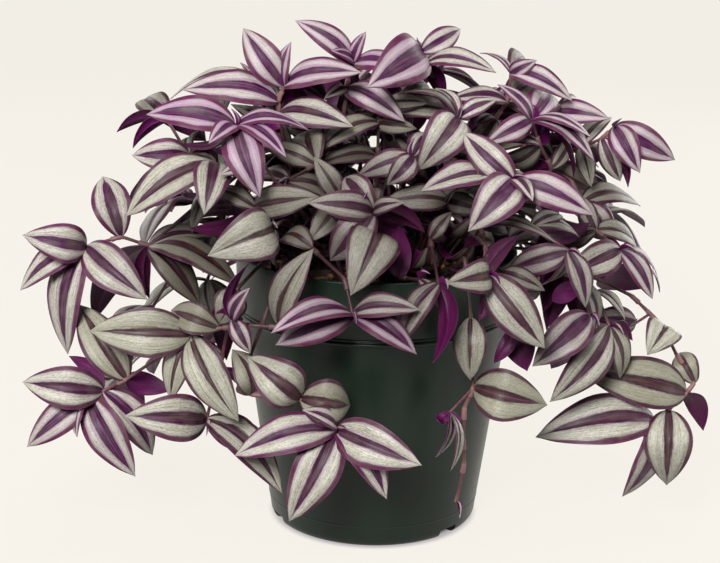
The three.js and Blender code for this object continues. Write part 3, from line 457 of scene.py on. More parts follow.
# Colours, as red, green and blue in one number
SILVER_SHADED = 0x88856F
SILVER_OLD = 0x8F8B74
SILVER = 0xB1AF9C
SILVER_BRIGHT = 0xDFDBCE
SILVER_WARM = 0xCBBFBC
SILVER_YOUNG = 0xBC9CBA
BAND_OLD = 0x40152A
BAND_YOUNG = 0x481440
BAND_CENTRE = 0x5A4638
MARGIN_OLD = 0x4B1732
MARGIN_YOUNG = 0x641F46
HALO_OLD = 0x683F50
HALO = 0x8E4886
GLOW = 0xB488AC
DARK_LINE = 0x270B1A
UNDER_OLD = 0x420A2C
UNDER_YOUNG = 0x76126A
UNDER_LINES = 0x904486
# Painted shade, laid over leaves and stems deep in the foliage
PAINTED_SHADE = 0x240A0F
STALK_OLD = 0x5E3C34
STALK_YOUNG = 0x6C3A48
NODE_PALE = 0x9A7366
SHEATH_PALE = 0x9E7276
POT_GREEN = 0x132218
# Lighter green for painted reflections and for scuffs on the pot
POT_SCUFF_AND_REFLECTION = 0x1E2C23
SOIL_DARK = 0x1C110C
SOIL_BROWN = 0x40291C
BARK = 0x9C6A3C
GRAIN_WHITE = 0xD9D4C8
STAGE_CREAM = 0xF3EFE7
CONTACT_SHADE = 0xB9B2B4
UNDER_SHADE = 0x1E1C1B


def unit(a):
    return a / np.linalg.norm(a)


def squared(a, b):
    """The part of a that is square to the unit vector b, made one long."""
    return unit(a - b * np.dot(a, b))


def blend(a, b, k):
    return a + (b - a) * k


def clamp(x, low, high):
    return min(high, max(low, x))


def rolled(a, along, turn):
    """A vector that is square to the unit vector along, turned about it."""
    return a * math.cos(turn) + np.cross(along, a) * math.sin(turn)


def seen(across, up, forward):
    """A point given as it is seen against the upright plane through the pot's axis."""
    nearer = (-EYE[1] - forward) / -EYE[1]
    x = EYE[0] + (across - EYE[0]) * nearer
    z = EYE[2] + (up - EYE[2]) * nearer
    return np.array([x, -forward, z])


def seeded_draw(seed):
    """A repeatable draw between two values, the same as the one that placed the solids."""
    state = seed

    def draw(low, high):
        nonlocal state
        state = (state * DRAW_STEP) % DRAW_LIMIT
        return low + (high - low) * (state - 1) / (DRAW_LIMIT - 1)

    return draw


def skyward(place):
    """The open sky as a leaf at this place sees it: up, and out from the middle of the plant."""
    out = unit(np.array([place[0], place[1], 0.001]))
    return unit(np.array([0.0, 0.0, 1.0]) + out * OUTWARD_LOOK)


class Blade:
    """How a leaf lies: from its base to its tip, with the way its upper face looks."""

    def __init__(self, base, tip, seen_width, facing, roll=0.0):
        along = tip - base
        self.base = base
        self.length = np.linalg.norm(along)
        self.chord = along / self.length
        self.width = max(seen_width, LEAST_WIDTH * self.length)
        # A shallow arch of height h over a chord of 1 is about 1 + 8/3 h * h long
        slack = LENGTH_PER_WIDTH * self.width / self.length - 1
        self.arch = clamp(math.sqrt(max(0, slack) * 3 / 8), LEAST_ARCH, MOST_ARCH)
        level = facing(self.chord, min(1, seen_width / self.width))
        self.normal = rolled(level, self.chord, roll)
        self.side = np.cross(self.chord, self.normal)
        self.stations = np.array(SMALL_STATIONS if self.width < SMALL_WIDTH else BLADE_STATIONS)
        self.inner = False

    def place(self, run, rise, across):
        """Points from how far they lie along the chord, off it and to its side."""
        risen = self.base + np.outer(run, self.chord) + np.outer(rise, self.normal)
        return risen + np.outer(across, self.side)

    def bow(self, t):
        """How far the blade bows off its chord along its length, and its slope there."""
        skew = 1 + BOW_SKEW * (1 - 2 * t)
        slope = self.arch * (4 * (1 - 2 * t) * skew - 8 * BOW_SKEW * t * (1 - t))
        return self.length * self.arch * 4 * t * (1 - t) * skew, slope

    def plain_places(self, t, s, lift):
        """Points of the plain blade: t along, s across and lift off its middle face."""
        bow, slope = self.bow(t)
        across = self.width / 2 * outline(t) * s
        lean = 1 / np.sqrt(1 + slope ** 2)
        rise = bow + BLADE_FOLD * np.abs(across) + lift * lean
        return self.place(self.length * t - lift * slope * lean, rise, across)

    def sheet(self, first=0):
        """Triangles of the blade as a thin sheet, from one of its stations on."""
        return self.rows_of(((-1, 0), (0, 0), (1, 0)), 0, first, False)

    def room(self, gap, first=0):
        """Triangles round the room that the blade needs, from one of its stations on."""
        ring = ((-1, gap), (0, gap), (1, gap), (1, -gap), (0, -gap), (-1, -gap))
        return self.rows_of(ring, gap, first, True)

    def rows_of(self, ring, gap, first, closed):
        t = self.stations[first:]
        inner = t[(t > 0) & (t < 1)]
        across, lift = np.array(ring, dtype=float).T
        widths = 1 + gap / (self.width / 2 * outline(inner))
        along = np.repeat(inner, len(ring))
        lifts = np.tile(lift, len(inner))
        points = self.plain_places(along, np.outer(widths, across).ravel(), lifts)
        end = self.plain_places(np.array([1.0]), np.zeros(1), 0) + self.chord * gap
        parts = [points, end]
        if first == 0:
            parts.insert(0, self.base[None] - self.chord * gap)
        faces = face_numbers(len(inner), len(ring), first == 0, closed)
        return np.concatenate(parts)[faces]


def outline(t):
    """Half the width of a plain blade along its length, as a part of its widest."""
    return (t / WIDEST) ** BASE_FULLNESS * ((1 - t) / (1 - WIDEST)) ** TIP_TAPER


@functools.cache
def face_numbers(rows, count, pointed, closed):
    """Corner numbers of the triangles between rows of points that run to a point."""
    rings = [[0]] if pointed else []
    for row in range(rows):
        start = row * count + len(rings[0]) if pointed else row * count
        rings.append(list(range(start, start + count)))
    rings.append([rings[-1][-1] + 1])
    faces = []
    for low, high in zip(rings, rings[1:]):
        for k in range(count if closed else count - 1):
            n = (k + 1) % count
            if len(low) == 1:
                faces.append((low[0], high[k], high[n]))
            elif len(high) == 1:
                faces.append((low[k], low[n], high[0]))
            else:
                faces += [(low[k], low[n], high[n]), (low[k], high[n], high[k])]
    return np.array(faces)


def edges_meet(solid, faces):
    """Whether an edge of some triangles passes through one of some others."""
    starts = solid.reshape(-1, 3)
    along = np.roll(solid, -1, axis=1).reshape(-1, 3) - starts
    moment = np.cross(starts, along)
    corner = faces[:, 0]
    first = faces[:, 1] - corner
    second = faces[:, 2] - corner
    normal = np.cross(first, second)
    det = -along @ normal.T
    det[np.abs(det) < NEARLY_PARALLEL] = np.nan
    u = (moment @ second.T - along @ np.cross(second, corner).T) / det
    v = -(moment @ first.T + along @ np.cross(corner, first).T) / det
    t = (starts @ normal.T - np.sum(corner * normal, axis=1)) / det
    return bool(((u >= 0) & (v >= 0) & (u + v <= 1) & (t >= 0) & (t <= 1)).any())


def faces_cross(a, b):
    return edges_meet(a, b) or edges_meet(b, a)


def box_of(faces):
    return faces.min(axis=(0, 1)), faces.max(axis=(0, 1))


def boxes_meet(a, b):
    return bool((a[0] <= b[1]).all() and (b[0] <= a[1]).all())


class Stem:
    """A stem's rise from the mix, its joints, and its leaves as asked for and as placed."""

    def __init__(self, name, root, joints, parents):
        self.name = name
        self.joints = joints
        self.parents = parents
        self.rise = rise_to(root, joints[0])
        self.youth = HIDDEN_YOUTH
        self.leaves = []
        self.blades = []
        starts = [self.start_of(i) for i in range(len(joints))]
        self.runs = np.array(list(zip(self.rise, self.rise[1:])) + list(zip(starts, joints)))
        self.ends = [(-2, -2)] * (len(self.rise) - 1) + [(p, i) for i, p in enumerate(parents)]

    def start_of(self, joint):
        """Where the run that ends in a joint begins."""
        parent = self.parents[joint]
        return self.joints[parent] if parent >= 0 else self.rise[-1]

    def tips(self):
        """The joints that no other joint grows from."""
        return [i for i in range(len(self.joints)) if i not in self.parents]

    def steps_to_tip(self, joint):
        """How many joints the stem grows past this one; past its rise it grows them all."""
        if joint < 0:
            return len(self.joints)
        children = [i for i, parent in enumerate(self.parents) if parent == joint]
        return max([1 + self.steps_to_tip(child) for child in children], default=0)

    def lines(self):
        """The corners of the main run and of each side stem."""
        main = list(self.rise)
        sides = []
        for i, joint in enumerate(self.joints):
            if self.parents[i] == i - 1:
                main.append(joint)
            else:
                sides.append([self.start_of(i), joint])
        return main, sides


def points_distance(a, b):
    """Least distance from points spread along the runs of a to the runs of b."""
    spread = np.linspace(0, 1, RUN_POINTS)[:, None]
    points = (a[:, None, 0] * (1 - spread) + a[:, None, 1] * spread).reshape(-1, 1, 3)
    start, along = b[None, :, 0], b[None, :, 1] - b[None, :, 0]
    k = np.sum((points - start) * along, axis=2) / np.sum(along * along, axis=2)
    near = start + along * np.clip(k, 0, 1)[..., None]
    return np.linalg.norm(points - near, axis=2).min()


def place_stem(name, root, joints_at, parents, placed):
    """Makes a stem, bent nearer or farther where it would meet another."""
    others = np.concatenate([stem.runs for stem in placed]) if placed else None
    best, best_room = None, -1
    for shift in STEM_SHIFTS:
        stem = Stem(name, root, joints_at(shift), parents)
        room = math.inf
        if placed:
            room = min(points_distance(stem.runs, others), points_distance(others, stem.runs))
        if room > best_room:
            best, best_room = stem, room
        if room > STEM_ROOM:
            break
    placed.append(best)
    return best


def rise_to(root, first):
    """The way up from the mix, over the rim where the first joint hangs outside."""
    x, y = root
    reach = math.hypot(first[0], first[1])
    if reach > POT_TOP_RADIUS + 1 and first[2] < POT_HEIGHT + LOW_JOINT:
        k = (POT_TOP_RADIUS - 1) / reach
        bend = [first[0] * k, first[1] * k, POT_HEIGHT + RIM_PASS]
    else:
        height = SOIL_LEVEL + max(LEAST_RISE, RISE_SHARE * (first[2] - SOIL_LEVEL))
        bend = [blend(x, first[0], RISE_LEAN), blend(y, first[1], RISE_LEAN), height]
    upright = [[x, y, SOIL_LEVEL - ROOT_DEPTH], [x, y, SOIL_LEVEL + STRAIGHT_RISE]]
    return [np.array(point) for point in (*upright, bend)]


def seen_stem(row, placed):
    """A stem of the view and the leaves that it asks for."""
    name, youth, root, rows, leaves = row
    parents = [joint[3] if len(joint) > 3 else i - 1 for i, joint in enumerate(rows)]

    def joints_at(shift):
        return [
            seen(joint[0], joint[1], joint[2] + shift * min(1, (i + 1) / 2))
            for i, joint in enumerate(rows)
        ]

    stem = place_stem(name, root, joints_at, parents, placed)
    stem.youth = youth
    stem.leaves = [seen_leaf(stem, *leaf) for leaf in leaves]


def seen_leaf(stem, joint, across, up, width, forward):
    """A leaf asked for by where the view shows its tip."""
    base = stem.joints[joint]

    def facing(chord, share):
        to_eye = squared(EYE - base, chord)
        turn = math.acos(share)
        tilted = np.cross(chord, to_eye)
        if np.dot(tilted, skyward(base)) < 0:
            tilted = -tilted
        return to_eye * (-1 if width < 0 else 1) * math.cos(turn) + tilted * math.sin(turn)

    def tip_at(shift):
        return seen(across, up, -base[1] + forward + shift)

    return joint, base, abs(width), tip_at, facing


def hidden_stem(name, along, low, high, ring, reach, start, end, hump, count, draw, placed):
    """A stem at the back, at its share along its tier: it rises from its roots and arches out."""
    turn = math.radians(blend(low, high, along) + draw(-TURN_SCATTER, TURN_SCATTER))
    out = np.array([math.cos(turn), math.sin(turn), 0.0])
    across = np.array([-out[1], out[0], 0.0])
    root = out * (ring + draw(-RING_SCATTER, RING_SCATTER))
    reach = reach * draw(*REACH_RANGE) * (1 + SIDE_REACH * abs(out[0]))
    sway = draw(-SWAY, SWAY)
    end = end + draw(-SWAY, SWAY)

    def joint_at(i, shift):
        k = i / count
        height = blend(start, end, k) + hump * math.sin(math.pi * k)
        zigzag = (ZIGZAG if i % 2 == 0 else -ZIGZAG) + (sway + shift) * k
        r = blend(ring, reach, k ** REACH_EASE)
        return out * r + across * zigzag + np.array([0.0, 0.0, height])

    def joints_at(shift):
        return [joint_at(i, shift) for i in range(1, count + 1)]

    stem = place_stem(name, root[:2], joints_at, list(range(-1, count - 1)), placed)
    for i in range(count - 1):
        side = HIDDEN_SPREAD if i % 2 == 0 else -HIDDEN_SPREAD
        hidden_leaf(stem, i, turn + side * draw(*SIDE_RANGE), draw)
    for side in (-HIDDEN_SPREAD, 0, HIDDEN_SPREAD):
        hidden_leaf(stem, count - 1, turn + side + draw(-FAN_SCATTER, FAN_SCATTER), draw)


def hidden_leaf(stem, joint, turn, draw):
    """A leaf of a hidden stem, pointing out at a turn round the upright and drooping."""
    length = HIDDEN_LENGTH * draw(*LENGTH_RANGE)
    width = HIDDEN_WIDTH * draw(*WIDTH_RANGE) * length / HIDDEN_LENGTH
    dip = draw(*HIDDEN_DIPS)
    lean = draw(-HIDDEN_LEAN, HIDDEN_LEAN)
    stem.leaves.append(turned_leaf(joint, stem.joints[joint], turn, length, width, dip, lean))


def turned_leaf(joint, base, turn, length, width, dip, lean):
    """A leaf asked for by its turn round the upright, its dip below level and its lean."""
    level = math.cos(dip)
    along = np.array([math.cos(turn) * level, math.sin(turn) * level, -math.sin(dip)])

    def facing(chord, share):
        return rolled(squared(skyward(base), chord), chord, lean)

    def tip_at(shift):
        return base + along * length + skyward(base) * shift

    return joint, base, width, tip_at, facing


def inner_leaves(stem, draw):
    """Old leaves low on a stem, which the view shows only as a dark fill between the others;
    painted shade darkens them.
    """
    bases = [(-1, blend(stem.rise[-1], stem.joints[0], k)) for k in INNER_PLACES]
    bases = [(i, at) for i, at in bases if math.hypot(at[0], at[1]) < INNER_REACH]
    near = [(i, at) for i, at in enumerate(stem.joints) if math.hypot(at[0], at[1]) < BACK_REACH]
    for joint, base in bases + near + near:
        back = (BACK_MARGIN, math.pi - BACK_MARGIN)
        turn = draw(*back if base[1] < BACK_START else (0, 2 * math.pi))
        length = draw(*INNER_LENGTHS)
        width = length * draw(*INNER_SLIMNESS)
        dip = draw(*INNER_DIPS)
        lean = draw(-HIDDEN_LEAN, HIDDEN_LEAN) + (math.pi if draw(0, 1) < TURNED_SHARE else 0)
        if base[1] > FRONT_DEPTH or base[2] > FRONT_FLOOR:
            yield turned_leaf(joint, base, turn, length, width, dip, lean)


def stretch_room(start, end, radius):
    """Triangles round a straight stretch of stem, with a little point at each end."""
    along = unit(end - start)
    first = squared(np.array([0.0, 0, 1] if abs(along[2]) < 0.8 else [1.0, 0, 0]), along)
    second = np.cross(along, first)
    turns = 2 * math.pi / ROOM_SIDES * np.arange(ROOM_SIDES)
    ring = (np.outer(np.cos(turns), first) + np.outer(np.sin(turns), second)) * radius
    points = np.concatenate([[start - along], start + ring, end + ring, [end + along]])
    return points[face_numbers(2, ROOM_SIDES, True, True)]


def in_pot(points, gap):
    """Which points lie in the pot's wall, in the mix or under the pot, with the gap round it."""
    r = np.hypot(points[:, 0], points[:, 1])
    z = points[:, 2]
    outer = np.interp(
        z, (0, NECK, NECK, POT_HEIGHT),
        (POT_BASE_RADIUS, NECK_RADIUS, COLLAR_FOOT_RADIUS, POT_TOP_RADIUS),
    )
    low = np.where(r < outer - WALL - gap, z < SOIL_LEVEL + SOIL_CROWN + gap, r < outer + gap)
    return low & (z <= POT_HEIGHT + gap)


def leaf_clear(blade, stem, joint, stretches, placed):
    """Whether a blade is clear of the floor, the pot, the stems and the blades placed so far."""
    blade.wide_room = blade.room(BLADE_GAP)
    blade.box = box_of(blade.wide_room)
    if blade.box[0][2] < FLOOR_GAP:
        return False
    t, s = [grid.ravel() for grid in np.meshgrid(SOUNDINGS, (-1, -0.5, 0, 0.5, 1))]
    if in_pot(blade.plain_places(t, s, 0), BLADE_GAP).any():
        return False
    blade.thin = blade.sheet()
    rooms = [
        room for owner, ends, room, box in stretches
        if not (owner is stem and joint in ends) and boxes_meet(blade.box, box)
    ]
    if rooms and faces_cross(blade.thin, np.concatenate(rooms)):
        return False
    near = [other for other in placed if boxes_meet(blade.box, other.box)]
    foreign = [other for other in near if other.stem is not stem]
    if foreign and faces_cross(blade.thin, np.concatenate([o.wide_room for o in foreign])):
        return False
    if foreign and faces_cross(np.concatenate([o.thin for o in foreign]), blade.wide_room):
        return False
    return not any(
        faces_cross(blade.sheet(2 if other.joint == joint else 1), other.own_room)
        for other in near if other.stem is stem
    )


def place_leaf(stem, leaf, shapes, stretches, placed):
    """Keeps the first of a leaf's shapes that is clear of all else."""
    joint, base, width, tip_at, facing = leaf
    for shrink, roll, shift in shapes:
        tip = base * (1 - shrink) + tip_at(shift) * shrink
        blade = Blade(base, tip, width * shrink, facing, roll)
        if leaf_clear(blade, stem, joint, stretches, placed):
            blade.stem = stem
            blade.joint = joint
            blade.own_room = blade.room(OWN_GAP, 2)
            stem.blades.append(blade)
            placed.append(blade)
            return blade
    return None


def grow_plant():
    """All stems, then all leaves, in the order of the lists, as the solids were placed."""
    stems = []
    for row in SEEN_STEMS:
        seen_stem(row, stems)
    draw = seeded_draw(HIDDEN_SEED)
    for name, count, *shape in HIDDEN_TIERS:
        for index in range(count):
            hidden_stem(f"{name}_{index + 1}", index / (count - 1), *shape, draw, stems)
    stretches = []
    for stem in stems:
        for (start, end), ends in zip(stem.runs, stem.ends):
            room = stretch_room(start, end, STEM_RADIUS + STEM_GAP)
            stretches.append((stem, ends, room, box_of(room)))
    placed = []
    for stem in stems:
        for leaf in stem.leaves:
            place_leaf(stem, leaf, LEAF_SHAPES, stretches, placed)
    for stem in stems:
        for row in BEHIND_LEAVES.get(stem.name, ()):
            place_leaf(stem, seen_leaf(stem, *row), LEAF_SHAPES, stretches, placed)
    for stem in stems:
        for leaf in inner_leaves(stem, draw):
            blade = place_leaf(stem, leaf, INNER_SHAPES, stretches, placed)
            if blade:
                blade.inner = True
    return stems


def closed_slab(columns, rows):
    """A unit blade, 2 wide and 2 long, with its upper face at 0 and its underside at -1."""
    bm = bmesh.new()
    bmesh.ops.create_grid(bm, x_segments=columns, y_segments=rows, size=1)
    made = bmesh.ops.extrude_face_region(bm, geom=bm.faces[:])
    moved = [item for item in made["geom"] if isinstance(item, bmesh.types.BMVert)]
    bmesh.ops.translate(bm, verts=moved, vec=(0, 0, -1))
    return bm


def ringed_tube(sides, rings):
    """A round bar cut into rings, with both ends closed, and each point's ring and turn."""
    bm = bmesh.new()
    bmesh.ops.create_cone(bm, cap_ends=True, segments=sides, radius1=1, radius2=1, depth=1)
    upright = [edge for edge in bm.edges if abs(edge.verts[0].co.z - edge.verts[1].co.z) > 0.5]
    bmesh.ops.subdivide_edges(bm, edges=upright, cuts=rings - 2, use_grid_fill=True)
    points = points_of(bm)
    numbers = np.round((points[:, 2] + 0.5) * (rings - 1)).astype(int)
    return bm, numbers, np.arctan2(points[:, 1], points[:, 0])


def points_of(bm):
    """The points of a shape, in its own order."""
    return np.array([vert.co for vert in bm.verts])


class Gathering:
    """Closed shapes gathered for one piece, with the values that its materials read."""

    def __init__(self, *layers):
        self.bm = bmesh.new()
        self.layers = [self.bm.verts.layers.float_vector.new(name) for name in layers]

    def add(self, shape, places, values, material=0):
        """Adds a shape with its points moved to places in mm; values has one array a layer."""
        first_vert = len(self.bm.verts)
        first_face = len(self.bm.faces)
        copied = bpy.data.meshes.new("shape")
        shape.to_mesh(copied)
        self.bm.from_mesh(copied)
        bpy.data.meshes.remove(copied)
        self.bm.verts.ensure_lookup_table()
        self.bm.faces.ensure_lookup_table()
        for i, place in enumerate(places):
            vert = self.bm.verts[first_vert + i]
            vert.co = place * MM
            for layer, rows in zip(self.layers, values):
                vert[layer] = rows[i]
        for face in self.bm.faces[first_face:]:
            face.material_index = material


def as_object(name, bm):
    """Makes an object of a shape, with its faces turned outwards, and adds it to the scene."""
    bmesh.ops.recalc_face_normals(bm, faces=bm.faces)
    mesh = bpy.data.meshes.new(name)
    bm.to_mesh(mesh)
    bm.free()
    made = bpy.data.objects.new(name, mesh)
    bpy.context.scene.collection.objects.link(made)
    return made


def finished_piece(name, bm, materials, node, sharp):
    """Shows a shape as a piece of the plant that stands for a node of the solids."""
    piece = as_object(name, bm)
    for material in materials:
        piece.data.materials.append(material)
    piece.data.shade_smooth()
    piece.data.set_sharp_from_angle(angle=math.radians(sharp))
    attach(piece, "root")
    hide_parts(node)
    return piece


def nature_rows(count, kind, chance, shade):
    """Two numbers that are the same for every point, and a shade for each."""
    return np.stack([np.full(count, kind), np.full(count, chance), np.zeros(count) + shade], axis=1)


def depth_shade(places):
    """How deep in the foliage points lie, and so how much painted shade they get: 0 near its
    outside and 1 far inside.
    """
    far = np.linalg.norm((places - FOLIAGE_MIDDLE) / FOLIAGE_REACH, axis=1)
    return np.clip((SHADE_START - far) / SHADE_FADE, 0, 1)


class BladeShape:
    """The slab that every blade starts from, with how far across and along each point lies."""

    def __init__(self, columns, rows):
        self.bm = closed_slab(columns, rows)
        x, y, z = points_of(self.bm).T
        k = (y + 1) / 2
        self.s = np.sign(x) * np.abs(x) ** COLUMN_POWER
        self.t = (k + (1 - np.cos(math.pi * k)) / 2) / 2
        self.face = np.where(z > -0.5, 1.0, -1.0)

    def values(self, youth, chance, shade):
        spot = np.stack([self.s, self.t, self.face], axis=1)
        return [spot, nature_rows(len(spot), youth, chance, shade)]


class Habit:
    """How one blade differs from its neighbours in its waves, its twist and its droop."""

    def __init__(self, draw):
        self.fullness = FINE_FULLNESS + draw(-0.04, 0.05)
        self.rise = SECTION_RISE * draw(0.75, 1.1)
        self.wave = WAVE_HEIGHT * draw(0.3, 1)
        self.waves = draw(1.2, 2.6)
        self.phase = draw(0, 2 * math.pi)
        self.twist = draw(-0.05, 0.05)
        self.sway = draw(-0.6, 0.6)
        self.droop = TIP_DROOP * draw(0.3, 1)


def fine_places(blade, habit, s, t, face):
    """Where the points of a blade lie: s across, t along and which face they are on."""
    bow, slope = blade.bow(t)
    fine = (t / WIDEST) ** habit.fullness * ((1 - t) / (1 - WIDEST)) ** FINE_TAPER
    fine = fine * (1 - TIP_PINCH * np.exp(-((1 - t) / PINCH_LENGTH) ** 2))
    half = blade.width / 2 * fine + BASE_WIDTH * (1 - t) ** BASE_FADE + TIP_WIDTH
    reach = np.abs(s)
    section = half * (habit.rise * reach - SECTION_DROP * reach ** 2)
    grown = blade.width / FULL_WIDTH
    wave = habit.wave * grown * np.sin(math.pi * t) * reach ** 2
    wave = wave * np.sin(2 * math.pi * habit.waves * t + habit.phase + WAVE_OFFSET * (s > 0))
    twist = habit.twist * half * s * (t - TWIST_START)
    droop = -habit.droop * np.clip((t - DROOP_START) / (1 - DROOP_START), 0, 1) ** 2
    rib = RIB_HEIGHT * grown * (1 - t) * (face < 0) * (reach < RIB_REACH)
    lift = face * (blend(RIM_THICKNESS, RIB_THICKNESS, (1 - reach)) / 2 + rib)
    lean = 1 / np.sqrt(1 + slope ** 2)
    run = blade.length * t - lift * slope * lean
    rise = bow + section + wave + twist + droop + lift * lean
    across = half * s + habit.sway * np.sin(math.pi * t)
    return blade.place(run, rise, across)


def bud_places(blade, s, t, face):
    """Where the points of a rolled young leaf lie: both halves stand up along its rib."""
    half = blade.width / 2 * outline(t) + BUD_BASE
    bow = 4 * t * (1 - t)
    folded = half * np.abs(s) * math.sin(BUD_FOLD)
    rise = blade.length * blade.arch * bow + folded + face * BUD_THICKNESS
    return blade.place(blade.length * t, rise, half * s * math.cos(BUD_FOLD))


def eased_line(corners):
    """A line through the corners with each bend rounded off, cut into short runs."""
    bends = [corners[0]]
    for before, corner, after in zip(corners, corners[1:], corners[2:]):
        back = corner - before
        ahead = after - corner
        ease = min(BEND_EASE, *(BEND_SHARE * np.linalg.norm(run) for run in (back, ahead)))
        start = corner - unit(back) * ease
        end = corner + unit(ahead) * ease
        for k in np.linspace(0, 1, BEND_STEPS + 1):
            bends.append(start * (1 - k) ** 2 + corner * 2 * k * (1 - k) + end * k * k)
    bends.append(corners[-1])
    line = [bends[0]]
    for start, end in zip(bends, bends[1:]):
        count = max(1, round(np.linalg.norm(end - start) / RING_SPACING))
        line += [blend(start, end, k / count) for k in range(1, count + 1)]
    return np.array(line)


class Line:
    """An eased line with how far along it each point lies and a frame at every point."""

    def __init__(self, points):
        self.points = points
        runs = np.linalg.norm(points[1:] - points[:-1], axis=1)
        self.far = np.concatenate([[0.0], np.cumsum(runs)])
        ways = (points[1:] - points[:-1]) / runs[:, None]
        self.ways = np.array([
            unit(ways[max(0, i - 1)] + ways[min(len(ways) - 1, i)]) for i in range(len(points))
        ])
        first = np.array([1.0, 0.0, 0.0])
        firsts = []
        for way in self.ways:
            first = squared(first, way)
            firsts.append(first)
        self.firsts = np.array(firsts)

    def at(self, far):
        """The point, the way and the first cross direction at a distance, past the ends too."""
        i = int(np.clip(np.searchsorted(self.far, far) - 1, 0, len(self.points) - 2))
        k = (far - self.far[i]) / (self.far[i + 1] - self.far[i])
        point = blend(self.points[i], self.points[i + 1], k)
        way = unit(blend(self.ways[i], self.ways[i + 1], clamp(k, 0, 1)))
        return point, way, squared(self.firsts[i], way)

    def nearest(self, point):
        return self.far[int(np.argmin(np.linalg.norm(self.points - point, axis=1)))]


def nearness(far, nodes, spread):
    """How near a distance along a stem is to a node: 1 at it, and 0 well past the spread."""
    return max([math.exp(-((far - node) / spread) ** 2) for node in nodes], default=0)


def add_tube(gathering, line, stations, nature, nodes, pale):
    """Adds a closed tube with a ring at each station, given as a distance and a radius."""
    shape, rows, turns = ringed_tube(STALK_SIDES, len(stations))
    places = np.zeros((len(rows), 3))
    stalk = np.zeros((len(rows), 3))
    for row, (far, radius) in enumerate(stations):
        point, way, first = line.at(far)
        chosen = rows == row
        turn = turns[chosen]
        out = np.outer(np.cos(turn), first) + np.outer(np.sin(turn), np.cross(way, first))
        places[chosen] = point + out * radius
        stalk[chosen] = (far / 10, max(nearness(far, nodes, PALE_SPREAD), pale), pale)
    # Painted shade: stalks are darker deep in the foliage
    values = nature_rows(len(rows), *nature, depth_shade(places))
    gathering.add(shape, places, [stalk, values], material=1)
    shape.free()


def add_stalk(gathering, corners, node_points, radii, nature):
    """Adds a stretch of stem with its swollen nodes and the sheaths that clasp it above them."""
    line = Line(eased_line(corners))
    nodes = [line.nearest(point) for point in node_points]
    total = line.far[-1]
    stations = []
    for far in line.far:
        swollen = 1 + NODE_SWELLING * nearness(far, nodes, NODE_SPREAD)
        stations.append((far, blend(*radii, far / total) * swollen))
    add_tube(gathering, line, stations, nature, nodes, 0)
    for node in nodes:
        if node + SHEATH_LENGTH <= total - 1:
            base = blend(*radii, node / total)
            rings = [(node + far, base + more) for far, more in SHEATH_RINGS]
            add_tube(gathering, line, rings, nature, nodes, 1)


class FoliageBuilder:
    """Makes the piece of each stem from its lines and blades."""

    def __init__(self, settings):
        self.draw = seeded_draw(settings.seed)
        self.shape = BladeShape(settings.blade_columns, settings.blade_rows)
        self.bud_shape = BladeShape(BUD_COLUMNS, BUD_ROWS)
        self.materials = [blade_material(settings), stalk_material(settings)]

    def build(self, stem):
        gathering = Gathering("spot", "nature")
        main, sides = stem.lines()
        nature = (stem.youth, self.draw(0, 1))
        add_stalk(gathering, main, stem.joints, (STALK_RADIUS, STALK_TIP_RADIUS), nature)
        for side in sides:
            add_stalk(gathering, side, [], (STALK_TIP_RADIUS, SIDE_TIP_RADIUS), nature)
        for blade in stem.blades:
            self.add_blade(gathering, stem, blade)
        for joint in stem.tips():
            self.add_bud(gathering, stem, joint)
        finished_piece(
            f"leafy_{stem.name}", gathering.bm, self.materials, f"stem_{stem.name}",
            LEAF_SHARP,
        )

    def add_blade(self, gathering, stem, blade):
        steps = stem.steps_to_tip(blade.joint) + 2 * blade.inner
        youth = stem.youth - YOUTH_STEP * steps + self.draw(-YOUTH_SCATTER, YOUTH_SCATTER)
        shape = self.shape
        places = fine_places(blade, Habit(self.draw), shape.s, shape.t, shape.face)
        # Painted shade: darker deep in the foliage, and at least BACK_SHADE on the inner leaves
        least = BACK_SHADE if blade.inner else 0
        shade = np.maximum(depth_shade(places) * self.draw(*SHADE_RANGE), least)
        values = shape.values(clamp(youth, LEAST_YOUTH, 1), self.draw(0, 1), shade)
        gathering.add(shape.bm, places, values)

    def add_bud(self, gathering, stem, joint):
        """Adds the rolled young leaf at the end of a stem."""
        point = stem.joints[joint]
        own = [blade.normal for blade in stem.blades if blade.joint == joint]
        sky = unit(sum(own) + skyward(point) * BUD_SKY) if own else skyward(point)
        way = unit(unit(point - stem.start_of(joint)) * BUD_ONWARD + sky * BUD_UPWARD)
        length = self.draw(*BUD_LENGTHS)

        def facing(chord, share):
            return squared(sky + OFF_AXIS, chord)

        bud = Blade(point, point + way * length, length * BUD_SLIMNESS, facing)
        shape = self.bud_shape
        places = bud_places(bud, shape.s, shape.t, shape.face)
        youth = clamp(stem.youth + BUD_YOUTH, BUD_LEAST_YOUTH, 1)
        gathering.add(shape.bm, places, shape.values(youth, self.draw(0, 1), 0))


def pot_radius(z):
    """Outer radius of the pot at a height."""
    if z > NECK:
        return blend(COLLAR_FOOT_RADIUS, POT_TOP_RADIUS, (z - NECK) / COLLAR_HEIGHT)
    return blend(POT_BASE_RADIUS, NECK_RADIUS, z / NECK)


def turned(profile, sides, wander=None):
    """A closed round shape from its profile of radii and heights, with a flat disc at each end."""
    shape, rows, turns = ringed_tube(sides, len(profile))
    radii, heights = np.array(profile)[rows].T
    places = np.stack([radii * np.cos(turns), radii * np.sin(turns), heights], axis=1)
    if wander:
        places = np.array([wander(place) for place in places])
    for vert, place in zip(shape.verts, places):
        vert.co = place * MM
    return shape


def arc(centre, radius, start, end, steps):
    """Points on a round corner of a profile, its turns in degrees."""
    points = []
    for k in range(steps + 1):
        turn = math.radians(blend(start, end, k / steps))
        points.append((centre[0] + radius * math.cos(turn), centre[1] + radius * math.sin(turn)))
    return points


def bead(z, height, out):
    """A small round rib or, with a negative out, a groove on the pot's wall."""
    return [
        (pot_radius(z + height * k) + out * math.sin(math.pi * k), z + height * k)
        for k in (0, 0.25, 0.5, 0.75, 1)
    ]


